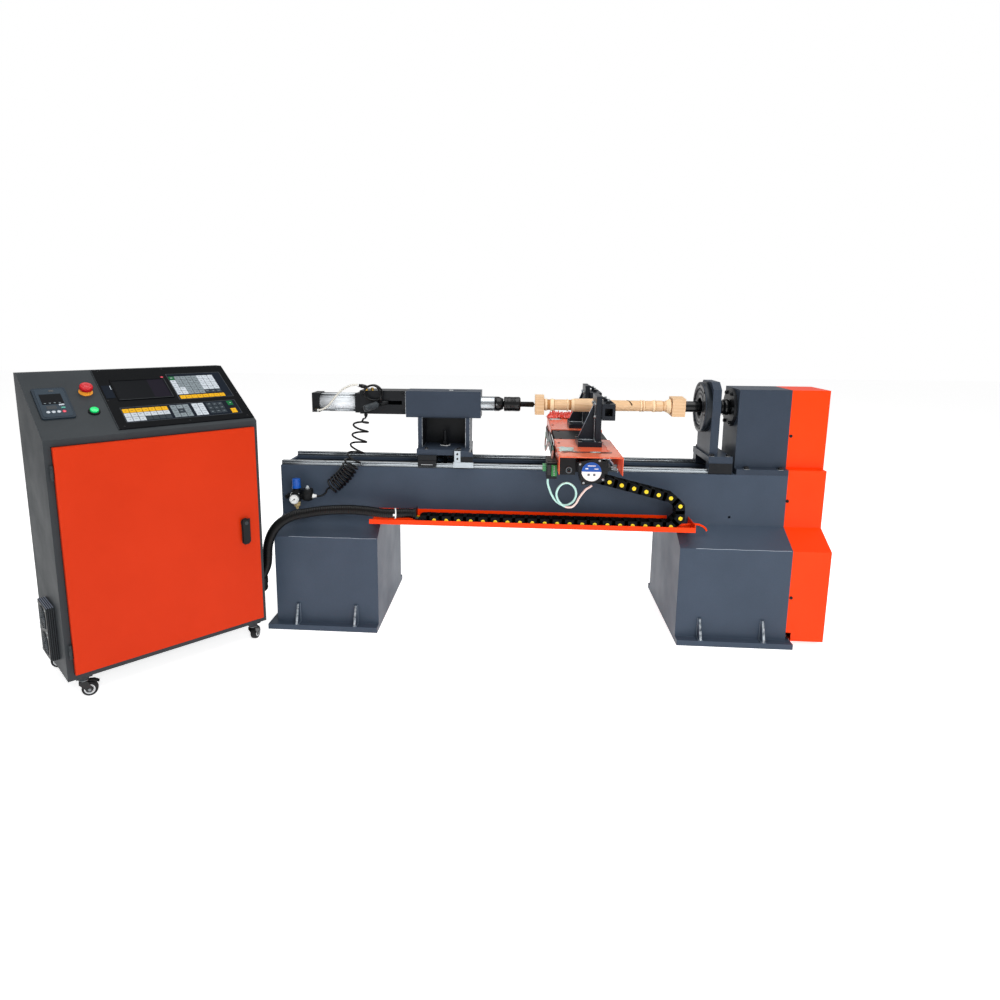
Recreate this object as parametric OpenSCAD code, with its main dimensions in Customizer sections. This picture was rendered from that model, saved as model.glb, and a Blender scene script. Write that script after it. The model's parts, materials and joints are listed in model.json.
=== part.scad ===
// CNC wood turning lathe with its control console. Lengths in millimetres, +Z up.
// Every module is drawn in the lathe's own frame: x runs along the bed from its left end,
// y goes back from the bed's front face, z is height above the floor. at_origin() then moves
// the whole machine so that the origin is on the floor under the middle of its box.

/* [Bed and pedestals] */
// Length of the bed beam
bed_length = 2020; // [1950:10:2600]
// Width of the bed beam
bed_width = 240; // [200:5:300]
// Height of the bed's underside
bed_bottom = 446; // [380:2:560]
// Depth of the bed beam
bed_depth = 206; // [180:2:260]
// Wall of the bed beam
bed_wall = 12; // [8:1:16]
// Length of each pedestal along the bed
pedestal_length = 420; // [340:5:480]
// How far the pedestals stand out in front of the bed
pedestal_front = 110; // [80:5:150]
// How far the pedestals stand out behind the bed
pedestal_back = 170; // [120:5:220]
// Sheet of the pedestals
pedestal_wall = 8; // [5:1:12]
// Thickness of the floor flange
foot_thickness = 22; // [14:1:30]

/* [Guides and screws] */
// Width of a guide rail
rail_width = 20; // [15:1:25]
// Height of a guide rail
rail_height = 17.5; // [14:0.5:22]
// Distance of each rail's centre from the edge of the bed
rail_inset = 21; // [20:0.5:30]
// Radius of the long ball screw
x_screw_radius = 12.5; // [10:0.5:16]
// Radius of the cross ball screw
cross_screw_radius = 8; // [6:0.5:10]

/* [Headstock and spindle] */
// Height of the spindle axis above the floor
spindle_z = 903; // [880:1:1000]
// Length of the headstock column along the bed
column_length = 197; // [160:1:240]
// Radius of the spindle cartridge
cartridge_radius = 58; // [50:1:62]
// Radius of the spindle shaft
spindle_radius = 25; // [20:0.5:30]
// Depth of the end covers
cover_depth = 142; // [120:1:170]
// Sheet of the end covers and hoods
sheet = 2.5; // [1.5:0.5:3]

/* [Carriage] */
// Centre of the carriage along the bed
carriage_x = 1221; // [1180:1:1260]
// Width of the hoods
hood_width = 218; // [210:1:260]
// Depth of the hoods' sides
hood_drop = 62; // [50:1:66]
// Width of the drag chain
chain_width = 60; // [50:1:66]
// Distance between the drag chain's pins
chain_pitch = 48; // [40:1:56]

/* [Tailstock, steady and workpiece] */
// Left end of the tailstock housing
tail_x = 511; // [480:1:540]
// Radius of the quill
quill_radius = 30.5; // [26:0.5:34]
// Hole of the steady's ring
steady_hole = 37; // [30:1:45]
// Side of the square wooden blank
wood_side = 72; // [50:1:80]

/* [Console] */
// Width of the console
console_width = 691.6; // [600:0.1:800]
// Depth of the console
console_depth = 335.3; // [300:0.1:400]
// Height of the console's front edge
console_front_z = 867; // [800:1:950]
// Height of the console's top
console_top_z = 1057; // [1000:1:1150]
// Radius of the caster wheels
caster_radius = 25; // [20:1:30]

/* [Hidden] */
$fn = 48;

// Clearances: a running fit on a shaft, a gap between moving faces, a gap between curved faces
fit = 0.05;
gap = 0.3;
// A hair's breadth under pieces that lie on the console's slope
seat = 0.02;

// Bed
bed_top = bed_bottom + bed_depth;
bed_middle = bed_width / 2;
slot_front = 44;
slot_back = bed_width - 44;
column_x = bed_length - column_length;
slot_end = column_x - bed_wall;
pedestal_slope_z = bed_bottom - 63;
pedestal_back_slope_z = bed_bottom - 97;
tray_depth = 112;
tray_floor = bed_bottom + 3;
foot_reach = 35;
foot_overhang = 28;
fin_thickness = 12;
fin_height = 80;

// Where the whole machine's box is centred, worked out from the named sizes
// The console's right front corner stays beside the lathe, so a wider one grows to the left
console_turn = 47.78;
console_corner = [-6.0992, -216.5017];
console_x = console_corner[0] - console_width * cos(console_turn);
console_y = console_corner[1] - console_width * sin(console_turn);
box_left = console_x - console_depth * sin(console_turn);
box_right = bed_length + cover_depth;
box_front = console_y;
origin_x = (box_left + box_right) / 2;
origin_y = (box_front + hood_back_y()) / 2;

// Spindle line
spindle_nose_x = column_x - bed_wall;
drive_rod_radius = 22;
drive_rod_x = 1635 + bed_length - 2020;
column_top = spindle_z + 79;
column_inset = 30;
column_wall = 10;
bearing_outer = 40;
bearing_width = 23;
pulley_x = bed_length + 46;
pulley_width = 22;
spindle_pulley_radius = 60;
motor_pulley_radius = 42;
belt_width = 13;
belt_depth = 9;
belt_clearance = 0.8;
motor_z = 250;
motor_radius = 95;
motor_shaft_radius = 14;

// Carriage stack, from the rail upwards
block_top = bed_top + 30;
saddle_thickness = 12;
saddle_top = block_top + saddle_thickness;
bar_height = 25;
bar_top = saddle_top + bar_height;
cross_block_height = 25;
table_bottom = bar_top + 30;
hood_top = table_bottom + 31;
table_top = hood_top - sheet;
saddle_front = -115;
saddle_back = bed_width + 60;
table_front = -170;
table_back = bed_width + 190;
cross_rail_offset = 70;
screw_x = carriage_x + 13;
x_screw_z = bed_top - 52;
cross_screw_z = saddle_top + 15.5;
hood_half = hood_width / 2;
table_half = hood_half - 6;
nut_half = 24;
bridge_half = 22;

// Hoods and tool posts, the rear ones mirrored about the middle of the slide table
hood_front_y = -364;
hood_mouth_y = 6;
post_mirror = 129;
post_foot_y = -165;
post_plate_x = carriage_x + 35;
post_plate = 20;
post_top = spindle_z + 64;
holder_z = spindle_z + 7;
holder_half = 24;
holder_height = 60;
holder_back_y = 0;
socket_side = 28;
cutter_side = 25.4;

// Tailstock
tail_length = 306;
tail_half = 54;
leg_left = tail_x + 51;
leg_right = tail_x + 265;
base_top = bed_top + 75;
base_bottom = base_top - 23;
riser_half = 18;
cylinder_front_x = tail_x - 170;
cylinder_rear_x = tail_x - 396;
quill_end_x = tail_x + 397;
piston_rod_radius = 10;
cylinder_bore = 32;
center_tip_x = tail_x + 525.7;
shank_radius = 12;
wood_x = center_tip_x + gap;

// Hand valve on the cylinder's bracket
valve_place = [404, bed_middle - 58, spindle_z + 1];
valve_core = 7;

// Steady rest
steady_x = bed_length - 298;

// Console slope
console_bottom = 72;
console_wall = 2;
slope_run = console_depth - 45.3;
slope_angle = atan((console_top_z - console_front_z) / slope_run);
door_left = 21;
door_right = console_width - 17.6;
door_bottom = 94;
door_top = console_front_z - 22;
door_gap = 0.5;
door_depth = 14;
door_pin_radius = 3;
door_hinge_heights = [door_bottom + 80, door_top - 80];
hinge_reach = 6;
hinge_radius = 5;
hinge_half = 24;
knuckle_half = 13.7;
inverter_place = [20, 96];
inverter_size = [98, 157];
inverter_height = 6;
estop_place = [176, 226];
start_place = [174.5, 120];
caster_places = [[48, 16], [console_width - 48, 16], [48, console_depth - 48],
    [console_width - 48, console_depth - 48]];
caster_turns = [-20, 40, 160, 95];
caster_trail = 16;
brake_caster = 0;
fan_places = [164, 256];
fan_t = 150;

// Air inlet of the filter and gland of the console's supply lead
inlet_radius = 6.5;
inlet_x = 50;
mains_gland_place = [console_width - 90, console_bottom + 58];
mains_gland_radius = 9;

// Drag chain: the direction of each link, from its fixed end to the carriage
chain_start = [600, tray_floor + 17];
chain_run = 20;
chain_slope = 166.2;
chain_turns = concat([for (i = [1:chain_run]) 0], [45, 93.6, 140],
    [for (i = [1:6]) chain_slope]);
chain_front_y = -110;
chain_half = 17;
chain_end = chain_pin(len(chain_turns));

// Routes of the hoses and cables, from end to end
conduit_radius = 19.5;
conduit_route = [[562, -84, 484], [542, -89, 487], [518, -98, 489], [494, -107, 490],
    [445, -117, 493], [384, -120, 501], [323, -120, 504], [262, -120, 502], [200, -120, 496],
    [138, -120, 485], [100, -121, 477], [60, -124, 461], [30, -128, 440], [6, -132, 411],
    [-9, -133, 380], [-19, -132, 345], [-24, -128, 305], [-30, -122, 272], [-41, -115, 245],
    [-53, -110, 222], [-58, -108, 206]];
cable_radius = 4;
cable_route = [[1080, -262, 684], [1080, -262, 666], [1086, -262, 644], [1097, -262, 618],
    [1112, -262, 597], [1132, -263, 585], [1153, -264, 585], [1171, -265, 597],
    [1181, -266, 616], [1181, -267, 638], [1170, -268, 657], [1151, -269, 667],
    [1131, -270, 662], [1117, -271, 646], [1112, -272, 626], [1118, -273, 605],
    [1132, -274, 588], [1150, -274, 579], [1168, -273, 580], [1182, -271, 592],
    [1193, -268, 612], [1206, -265, 631], [1219, -263, 645], [1230, -262, 652],
    [1238, -262, 658]];
hose_radius = 4;
clear_hose_route = [[131, 68, 872], [143, 68, 872], [156, 69, 874], [170, 71, 880],
    [186, 72, 892], [208, 70, 918], [232, 69, 945], [256, 70, 964], [280, 70, 975],
    [300, 71, 979], [316, 72, 978], [340, 72, 971]];
loop_hose_route = [[352, 70, 970], [366, 66, 977], [384, 62, 979], [402, 59, 972],
    [414, 57, 956], [414, 56, 938], [405, 54, 926], [388, 53, 919], [364, 53, 922],
    [349, 52, 934], [343, 52, 950], [349, 51, 966], [364, 49, 977], [384, 47, 979],
    [400, 45, 970], [407, 44, 953], [410, 44, 938], [412, 46, 924], [410, 53, 914],
    [406, 60, 909]];
hook_route = [[1600, -50, 454], [1609, -50, 456], [1635, -50, 460], [1661, -50, 463],
    [1681, -50, 461], [1697, -50, 454], [1706, -50, 446], [1711, -50, 437]];
coil_radius = 34;
coil_hose_radius = 4;
coil_route = [[346, 60, 860], [346, 56, 850], [346, 10, 846], [347, -8, 842], [350, -40, 836],
    [345, -40, 800], [336, -42, 750], [320, -44, 700], [298, -46, 655], [269, -48, 616],
    [236, -50, 586], [214, -52, 566], [208, -53, 560], [190, -58, 544], [178, -60, 540],
    [166, -60, 540]];
coil_ends = [3, 11];
coil_radii = [for (i = [0:len(coil_route) - 1])
    i > coil_ends[0] && i <= coil_ends[1] ? coil_radius : coil_hose_radius];

function hood_back_y() = 690;
function unit(v) = v / norm(v);
function rough_side(d) = abs(d[2]) < 0.9 * norm(d) ? [0, 0, 1] : [1, 0, 0];

// Direction of a route at one of its points
function along(route, i) = unit(route[min(i + 1, len(route) - 1)] - route[max(i - 1, 0)]);
// One ring of a tube round a point of its route
function ring(centre, d, r, sides) =
    let(u = unit(cross(rough_side(d), d)), v = cross(d, u))
    [for (k = [0:sides - 1])
        centre + r * (cos(360 * k / sides) * u + sin(360 * k / sides) * v)];
// Pin of the drag chain at the end of link number n
function chain_pin(n) = n == 0 ? chain_start
    : chain_pin(n - 1) + chain_pitch * [cos(chain_turns[n - 1]), sin(chain_turns[n - 1])];

module at_origin() translate([-origin_x, -origin_y, 0]) children();
module at_console() translate([console_x, console_y, 0]) rotate([0, 0, console_turn])
    children();
// A point of the console's sloping panel: across, then up the slope, with z standing out of it
module on_slope(place) translate([place[0], 0, console_front_z]) rotate([slope_angle, 0, 0])
    translate([0, place[1], seat]) children();

module block(low, high) translate(low) cube(high - low);
module rod_x(x0, x1, r) translate([x0, 0, 0]) rotate([0, 90, 0]) cylinder(h = x1 - x0, r = r);
module rod_y(y0, y1, r) translate([0, y0, 0]) rotate([-90, 0, 0]) cylinder(h = y1 - y0, r = r);
// A flat outline in y and z, drawn out along x
module profile_x(x0, x1) translate([x0, 0, 0]) rotate([90, 0, 90]) linear_extrude(x1 - x0)
    children();
// A flat outline in x and z, drawn out along y
module profile_y(y0, y1) translate([0, y1, 0]) rotate([90, 0, 0]) linear_extrude(y1 - y0)
    children();
// A turned outline of radius over length, laid along x
module turned_x(points) rotate([0, 90, 0]) rotate_extrude() polygon(points);
// A tube swept along a route, with a radius at each of its points
module swept(route, radii, sides) {
    last = len(route) - 1;
    points = [for (i = [0:last]) each ring(route[i], along(route, i), radii[i], sides)];
    sidewalls = [for (i = [0:last - 1]) for (k = [0:sides - 1])
        let(a = i * sides + k, b = i * sides + (k + 1) % sides)
        each [[a, a + sides, b], [b, a + sides, b + sides]]];
    ends = [[for (k = [0:sides - 1]) k], [for (k = [sides - 1:-1:0]) last * sides + k]];
    polyhedron(points, concat(sidewalls, ends), convexity = 8);
}
module tube(route, r, sides) swept(route, [for (p = route) r], sides);
module on_spindle() translate([0, bed_middle, spindle_z]) children();
module hex_head(r, h) cylinder(h = h, r = r, $fn = 6);

// ---------------------------------------------------------------- bed and pedestals
module bed_beam() color("#46505c") difference() {
    block([0, 0, bed_bottom], [bed_length, bed_width, bed_top]);
    block([bed_wall, bed_wall, bed_bottom + bed_wall],
        [bed_length - bed_wall, bed_width - bed_wall, bed_top - bed_wall]);
    block([bed_wall, slot_front, bed_top - bed_wall - 1], [slot_end, slot_back, bed_top + 1]);
    translate([slot_end - 2, 0, bed_bottom + 34]) rod_y(-1, bed_wall + 1, 5);
}

module pedestal_outline(inset) {
    slope_share = 0.62;
    polygon([[-pedestal_front + inset, inset],
        [-pedestal_front + inset, pedestal_slope_z - inset * slope_share],
        [inset * slope_share, bed_bottom - inset], [bed_width, bed_bottom - inset],
        [bed_width + pedestal_back - inset, pedestal_back_slope_z - inset * slope_share],
        [bed_width + pedestal_back - inset, inset]]);
}

module foot_fin(x, y, way) translate([x - fin_thickness / 2, y, foot_thickness])
    rotate([90, 0, 90]) linear_extrude(fin_thickness)
    polygon([[0, 0], [way * foot_reach, 0], [way * foot_reach, 12], [way * 8, fin_height],
        [0, fin_height]]);

module pedestal(x0, overhang_left, overhang_right, open_right) {
    x1 = x0 + pedestal_length;
    difference() {
        union() {
            profile_x(x0, x1) pedestal_outline(0);
            block([x0 - overhang_left, -pedestal_front - foot_reach, 0],
                [x1 + overhang_right, bed_width + pedestal_back + foot_reach, foot_thickness]);
            for (x = [x0 + 90, x1 - 92]) {
                foot_fin(x, -pedestal_front, -1);
                foot_fin(x, bed_width + pedestal_back, 1);
            }
        }
        profile_x(x0 + pedestal_wall, x1 - pedestal_wall) pedestal_outline(pedestal_wall);
        if (open_right) block([x1 - pedestal_wall - 1, bed_middle - 60, motor_z - 60],
            [x1 + 1, bed_middle + 60, motor_z + 60]);
    }
}

module pedestals() color("#46505c") {
    pedestal(0, foot_overhang, 0, false);
    pedestal(bed_length - pedestal_length, 0, foot_reach / 2, true);
}

// ---------------------------------------------------------------- headstock
module headstock_column() color("#424a54") difference() {
    union() {
        block([column_x, 0, bed_top], [bed_length, bed_width, bed_top + 22]);
        block([column_x, column_inset, bed_top + 22],
            [bed_length, bed_width - column_inset, column_top]);
        for (x = [column_x + 39, bed_length - 29]) translate([x, 7, bed_top + 22])
            hex_head(7, 8);
    }
    block([column_x + column_wall, column_inset + column_wall, bed_top + 30],
        [bed_length - column_wall, bed_width - column_inset - column_wall,
        column_top - column_wall]);
    on_spindle() rod_x(column_x - 1, bed_length + 1, cartridge_radius + fit);
}

module spindle_housing() color("#1e2226") on_spindle() {
    difference() {
        union() {
            rod_x(spindle_nose_x + 12, bed_length, cartridge_radius);
            rod_x(spindle_nose_x, spindle_nose_x + 12, cartridge_radius + 18);
        }
        rod_x(spindle_nose_x - 1, bed_length + 1, spindle_radius + 3);
        for (x = [spindle_nose_x + 14, bed_length - bearing_width])
            rod_x(x, x + bearing_width + 1, bearing_outer);
    }
    for (x = [spindle_nose_x + 14, bed_length - bearing_width]) difference() {
        rod_x(x, x + bearing_width, bearing_outer - fit);
        rod_x(x - 1, x + bearing_width + 1, spindle_radius + fit);
    }
    for (turn = [30:60:330]) rotate([turn, 0, 0]) translate([spindle_nose_x, 0, 66])
        rotate([0, -90, 0]) hex_head(6, 6);
}

module spindle_shaft() color("#2b2e31") on_spindle() {
    difference() {
        union() {
            rod_x(column_x - 33, pulley_x + pulley_width + 8, spindle_radius);
            rod_x(drive_rod_x, column_x - 33, drive_rod_radius);
            translate([pulley_x, 0, 0]) rod_x(0, pulley_width, spindle_pulley_radius);
        }
        belt_groove(spindle_pulley_radius);
    }
}

// The groove that a pulley's rim has for the belt
module belt_groove(rim) translate([pulley_x + (pulley_width - belt_width) / 2 - 1, 0, 0])
    difference() {
        rod_x(0, belt_width + 2, rim + 1);
        rod_x(-1, belt_width + 3, rim - belt_depth);
    }

module motor_pulley() color("#6c7074") translate([0, bed_middle, motor_z]) difference() {
    union() {
        rod_x(bed_length - 60, pulley_x + pulley_width + 6, motor_shaft_radius);
        rod_x(pulley_x, pulley_x + pulley_width, motor_pulley_radius);
    }
    belt_groove(motor_pulley_radius);
}

module belt_loop(extra) hull() {
    translate([0, spindle_z]) circle(r = spindle_pulley_radius - belt_depth + extra, $fn = 72);
    translate([0, motor_z]) circle(r = motor_pulley_radius - belt_depth + extra, $fn = 72);
}

module v_belt() color("#17191b") translate([0, bed_middle, 0])
    profile_x(pulley_x + (pulley_width - belt_width) / 2,
        pulley_x + (pulley_width + belt_width) / 2)
    difference() {
        belt_loop(belt_clearance + belt_depth);
        belt_loop(belt_clearance);
    }

module spindle_motor() color("#3a4046") translate([0, bed_middle, motor_z]) difference() {
    union() {
        rod_x(bed_length - 330, bed_length - 40, motor_radius);
        rod_x(bed_length - 40, bed_length - pedestal_wall, motor_radius + 20);
        block([bed_length - 240, -50, motor_radius - 8], [bed_length - 130, 50, motor_radius + 38]);
        for (y = [-86, 56]) block([bed_length - 300, y, -motor_z + pedestal_wall],
            [bed_length - 110, y + 30, -40]);
    }
    rod_x(bed_length - 62, bed_length, motor_shaft_radius + fit);
}

module upper_cover_outline(inset) translate([column_inset + inset, bed_top + 22])
    square([bed_width - 2 * column_inset - 2 * inset, column_top - bed_top - 22 - inset]);

// A cover is a folded sheet: closed at its right end and open towards the machine
module end_covers() color("#fb4a12") {
    x0 = bed_length;
    x1 = bed_length + cover_depth;
    difference() {
        profile_x(x0, x1) upper_cover_outline(0);
        profile_x(x0 - 1, x1 - sheet) translate([0, -1]) upper_cover_outline(sheet);
    }
    difference() {
        block([x0, 0, bed_bottom], [x1, bed_width, bed_top + 22]);
        block([x0 - 1, sheet, bed_bottom - 1],
            [x1 - sheet, bed_width - sheet, bed_top + 22 - sheet]);
        block([x0 - 1, column_inset + sheet, bed_top],
            [x1 - sheet, bed_width - column_inset - sheet, bed_top + 23]);
    }
    difference() {
        intersection() {
            profile_x(x0, x1) pedestal_outline(0);
            block([x0, -300, 20], [x1, 600, bed_bottom]);
        }
        difference() {
            profile_x(x0 - 1, x1 - sheet) pedestal_outline(sheet);
            block([x0 - 2, -300, 0], [x1, 600, 20 + sheet]);
        }
        block([x0 - 1, sheet, bed_bottom - 2 * sheet],
            [x1 - sheet, bed_width - sheet, bed_bottom + 1]);
        block([x0 - 1, -300, 0], [x0 + foot_reach / 2 + 2, 600, 54]);
    }
}

// ---------------------------------------------------------------- guides and long screw
// Section of a guide rail, waisted below its running faces, standing on z = 0
module rail_section() polygon([[-rail_width / 2, 0], [rail_width / 2, 0],
    [rail_width / 2, rail_height * 0.45], [rail_width * 0.4, rail_height * 0.6],
    [rail_width / 2, rail_height * 0.8], [rail_width / 2, rail_height - 1],
    [rail_width / 2 - 1, rail_height], [-rail_width / 2 + 1, rail_height],
    [-rail_width / 2, rail_height - 1], [-rail_width / 2, rail_height * 0.8],
    [-rail_width * 0.4, rail_height * 0.6], [-rail_width / 2, rail_height * 0.45]]);
// Section of the channel in a guide block that runs on the rail
module rail_channel() {
    translate([-rail_width / 2 - gap, -1])
        square([rail_width + 2 * gap, rail_height + 1 + gap]);
}

module guide_rails() color("#8d9398") for (y = [rail_inset, bed_width - rail_inset])
    difference() {
        profile_x(1, slot_end - 12) translate([y, bed_top]) rail_section();
        for (x = [60:120:slot_end - 60]) translate([x, y, bed_top + rail_height - 6])
            cylinder(h = 7, r = 5);
    }

// One guide block of a bed rail, from x0 to x1
module guide_block(x0, x1, y) profile_x(x0, x1) translate([y, bed_top]) difference() {
    translate([-22, 5]) square([44, 25]);
    rail_channel();
}

module x_servo_drive() color("#22262a") translate([0, bed_middle, x_screw_z]) {
    difference() {
        union() {
            block([30, -40, -40], [170, 40, 40]);
            block([170, -30, -30], [182, 30, 30]);
        }
        rod_x(160, 183, x_screw_radius * 0.6 + fit);
    }
    for (x = [200, slot_end - 40]) difference() {
        block([x, -45, -(x_screw_z - bed_bottom - bed_wall)], [x + 28, 45, 32]);
        rod_x(x - 1, x + 29, x_screw_radius + fit);
    }
    block([60, -45, -(x_screw_z - bed_bottom - bed_wall)], [150, 45, -40]);
}

module x_screw() color("#a8adb2") translate([0, bed_middle, x_screw_z]) {
    rod_x(192, slot_end - 4, x_screw_radius);
    rod_x(163, 192, x_screw_radius * 0.6);
}

module cable_tray() color("#fb4a12") {
    folded_tray();
    tube(hook_route, 4, 8);
}

module folded_tray() difference() {
    x0 = 390;
    x1 = bed_length - 368;
    union() {
        block([x0, -tray_depth, tray_floor - sheet], [x1, 0, tray_floor]);
        block([x0, -tray_depth - sheet, tray_floor - sheet],
            [x1, -tray_depth, bed_bottom + 20]);
        block([x0, -sheet, tray_floor], [x1 - 86, 0, bed_bottom + 35]);
        block([x1 - sheet, -tray_depth, tray_floor], [x1, 0, bed_bottom + 31]);
    }
    profile_x(0, pedestal_length) pedestal_outline(0);
    profile_x(bed_length - pedestal_length, bed_length) pedestal_outline(0);
}

// ---------------------------------------------------------------- drag chain
// Side plate of a link, in the x-z plane: the rear half lies inside the next link's front half
module link_side(inner_y, way) {
    middle = chain_pitch / 2;
    half = 6.2;
    for (layer = [0, 1]) {
        y = inner_y + way * layer * 3.2;
        profile_y(min(y, y + way * 3), max(y, y + way * 3)) {
            translate([layer * chain_pitch, 0]) circle(r = chain_half);
            if (layer == 0) translate([0, -chain_half])
                square([middle + half, 2 * chain_half]);
            else translate([middle - half, -chain_half])
                square([middle + half, 2 * chain_half]);
        }
    }
    profile_y(min(inner_y, inner_y + way * 6.2), max(inner_y, inner_y + way * 6.2))
        translate([middle - half, -chain_half]) square([2 * half, 2 * chain_half]);
}

module chain_link() {
    half_width = chain_width / 2;
    inner = half_width - 7.8;
    difference() {
        union() {
            link_side(inner, 1);
            link_side(-inner, -1);
            for (z = [-chain_half, chain_half - 3])
                block([chain_pitch / 2 - 6.2, -inner, z], [chain_pitch / 2 + 6.2, inner, z + 3]);
        }
        translate([chain_pitch, 0, 0]) rod_y(-half_width, half_width, 5.3);
    }
    for (way = [-1, 1]) scale([1, way, 1]) {
        rod_y(inner + 2, half_width - 1.4, 5);
        rod_y(half_width - 1.4, half_width, 9.3);
    }
}

module drag_chain() color("#1c1e20") translate([0, chain_front_y + chain_width / 2, 0])
    for (i = [0:len(chain_turns) - 1]) {
        pin = chain_pin(i);
        translate([pin[0], 0, pin[1]]) rotate([0, -chain_turns[i], 0]) chain_link();
    }

// ---------------------------------------------------------------- conduit and air
module conduit() color("#24282b") tube(conduit_route, conduit_radius, 10);

module conduit_glands() color("#2c3033") {
    start = conduit_route[0];
    stop = conduit_route[len(conduit_route) - 1];
    translate([0, start[1], start[2]]) {
        rod_x(start[0], start[0] + 10, conduit_radius + 3);
        translate([start[0] + 10, 0, 0]) block([0, -24, tray_floor - start[2]], [4, 24, 24]);
    }
    at_console() translate([mains_gland_place[0], console_depth, mains_gland_place[1]])
        difference() {
            union() {
                rod_y(0, 6, mains_gland_radius + 8);
                rod_y(6, 18, mains_gland_radius + 5);
            }
            rod_y(-1, 19, mains_gland_radius);
        }
    translate([stop[0], stop[1], stop[2] - 40]) {
        translate([0, 0, 18]) cylinder(h = 22, r = conduit_radius + 3);
        sphere(r = conduit_radius + 2);
        cylinder(h = 20, r = conduit_radius + 1);
        rotate([0, 0, console_turn]) {
            rod_x(-console_gland_reach(), 0, conduit_radius + 1);
            rod_x(-console_gland_reach(), -console_gland_reach() + 8, conduit_radius + 6);
        }
    }
}

// Distance from the conduit's end to the console's right side, along the console's width
function console_gland_reach() =
    let(stop = conduit_route[len(conduit_route) - 1],
        dx = stop[0] - console_x, dy = stop[1] - console_y)
    dx * cos(console_turn) + dy * sin(console_turn) - console_width;

module air_unit() color("#22262a") translate([0, -60, 0]) {
    block([66, -20, 520], [100, 20, 562]);
    block([100, -8, 532], [107, 8, 548]);
    translate([83, 0, 495]) cylinder(h = 25, r = 15);
    translate([83, 0, 486]) cylinder(h = 9, r = 6);
    translate([128, 0, 522]) cylinder(h = 46, r = 23);
    translate([128, 0, 568]) cylinder(h = 15, r1 = 21, r2 = 12);
    translate([0, 0, 540]) rod_x(148, 166, 8);
    translate([0, 0, 540]) rod_x(inlet_x, 66.5, 7);
    translate([inlet_x, 0, 540]) difference() {
        rod_y(-24, 8, 9);
        rod_y(-25, -12, inlet_radius);
    }
    translate([83, 0, 532]) rod_y(-34, -20, 20);
    block([70, 20, 534], [96, 60, 548]);
    difference() {
        translate([83, 0, 562]) cylinder(h = 10, r = 15);
        translate([83, 0, 561]) cylinder(h = 20, r = 6 + fit);
    }
}

module regulator_knob() color("#1458b0") translate([83, -60, 0]) {
    translate([0, 0, 572 + gap]) cylinder(h = 34, r = 18);
    translate([0, 0, 606 + gap]) cylinder(h = 4, r1 = 18, r2 = 15);
    translate([0, 0, 563]) cylinder(h = 10, r = 6);
}

// ---------------------------------------------------------------- carriage
module carriage_guides() color("#2a2e32") {
    for (y = [rail_inset, bed_width - rail_inset], x = [carriage_x - 90, carriage_x + 20])
        guide_block(x, x + 70, y);
    for (x = [carriage_x - cross_rail_offset, carriage_x + cross_rail_offset],
            y = [-60, bed_width - 20])
        profile_y(y, y + 70) translate([x, 0]) difference() {
            translate([-bridge_half, bar_top]) square([2 * bridge_half, cross_block_height]);
            translate([0, table_bottom]) mirror([0, 1]) rail_channel();
        }
}

module saddle() color("#30363c") {
    difference() {
        union() {
            block([carriage_x - hood_half + 4, saddle_front, block_top],
                [carriage_x + hood_half - 4, saddle_back, saddle_top]);
            for (x = [carriage_x - cross_rail_offset, carriage_x + cross_rail_offset])
                block([x - bridge_half, saddle_front, saddle_top],
                    [x + bridge_half, saddle_back, bar_top]);
            block([carriage_x - 20, bed_middle - 30, x_screw_z - nut_half],
                [carriage_x + 20, bed_middle + 30, block_top]);
            block([screw_x - bridge_half, 100, saddle_top],
                [screw_x + bridge_half, 140, cross_screw_z + nut_half]);
            block([chain_end[0] - 6, chain_front_y + 10, chain_end[1] + chain_half],
                [chain_end[0] + 40, chain_front_y + 50, block_top]);
        }
        translate([0, bed_middle, x_screw_z])
            rod_x(carriage_x - 21, carriage_x + 21, x_screw_radius + fit);
        translate([screw_x, 0, cross_screw_z]) rod_y(99, 141, cross_screw_radius + fit);
    }
}

module slide_table() color("#1f2326") {
    difference() {
        block([carriage_x - table_half, table_front, table_bottom],
            [carriage_x + table_half, table_back, table_top]);
        for (x = [carriage_x - 80, carriage_x + 80], y = [hood_mouth_y + 30, bed_width - 20])
            translate([x, y, table_top - 9]) cylinder(h = 10, r = 7);
    }
    for (y = [table_front, table_back - 20]) translate([screw_x, y, 0]) difference() {
        block([-50, 0, cross_screw_z - nut_half], [50, 20, table_bottom]);
        translate([0, 0, cross_screw_z]) rod_y(-1, 21, cross_screw_radius + fit);
    }
}

module cross_rails() color("#8d9398")
    for (x = [carriage_x - cross_rail_offset, carriage_x + cross_rail_offset])
        profile_y(table_front + 24, table_back - 24)
            translate([x, table_bottom]) mirror([0, 1]) rail_section();

module cross_screw() color("#a8adb2") translate([screw_x, 0, cross_screw_z])
    rod_y(table_front - 8, table_back, cross_screw_radius);

module cross_motor() color("#1b1d20") translate([screw_x, table_front, cross_screw_z]) {
    difference() {
        rotate([0, -11.6, 0]) block([-43, -12, -43], [43, 0, 43]);
        rod_y(-13, 1, cross_screw_radius + fit);
    }
    rotate([0, -11.6, 0]) {
        difference() {
            block([-41, -86, -41], [41, -12, 41]);
            for (sx = [-1, 1], sz = [-1, 1]) translate([sx * 41, -49, sz * 41])
                rotate([0, 45, 0]) cube([9, 76, 9], center = true);
        }
        block([-43, -98, -43], [43, -86, 43]);
    }
    translate([-screw_x, -table_front, -cross_screw_z]) difference() {
        block([carriage_x - hood_half + 6, -236, 690], [carriage_x - 42, -233, table_top]);
        translate([carriage_x - 65, 0, 708]) rod_y(-237, -232, 9);
    }
}

module driver_box() color("#2b3034") {
    block([carriage_x - hood_half - 38, -284, 684], [carriage_x - hood_half - 2, -160, 742]);
    block([carriage_x - hood_half - 2, -270, 720], [carriage_x - hood_half, -180, 738]);
}

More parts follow.
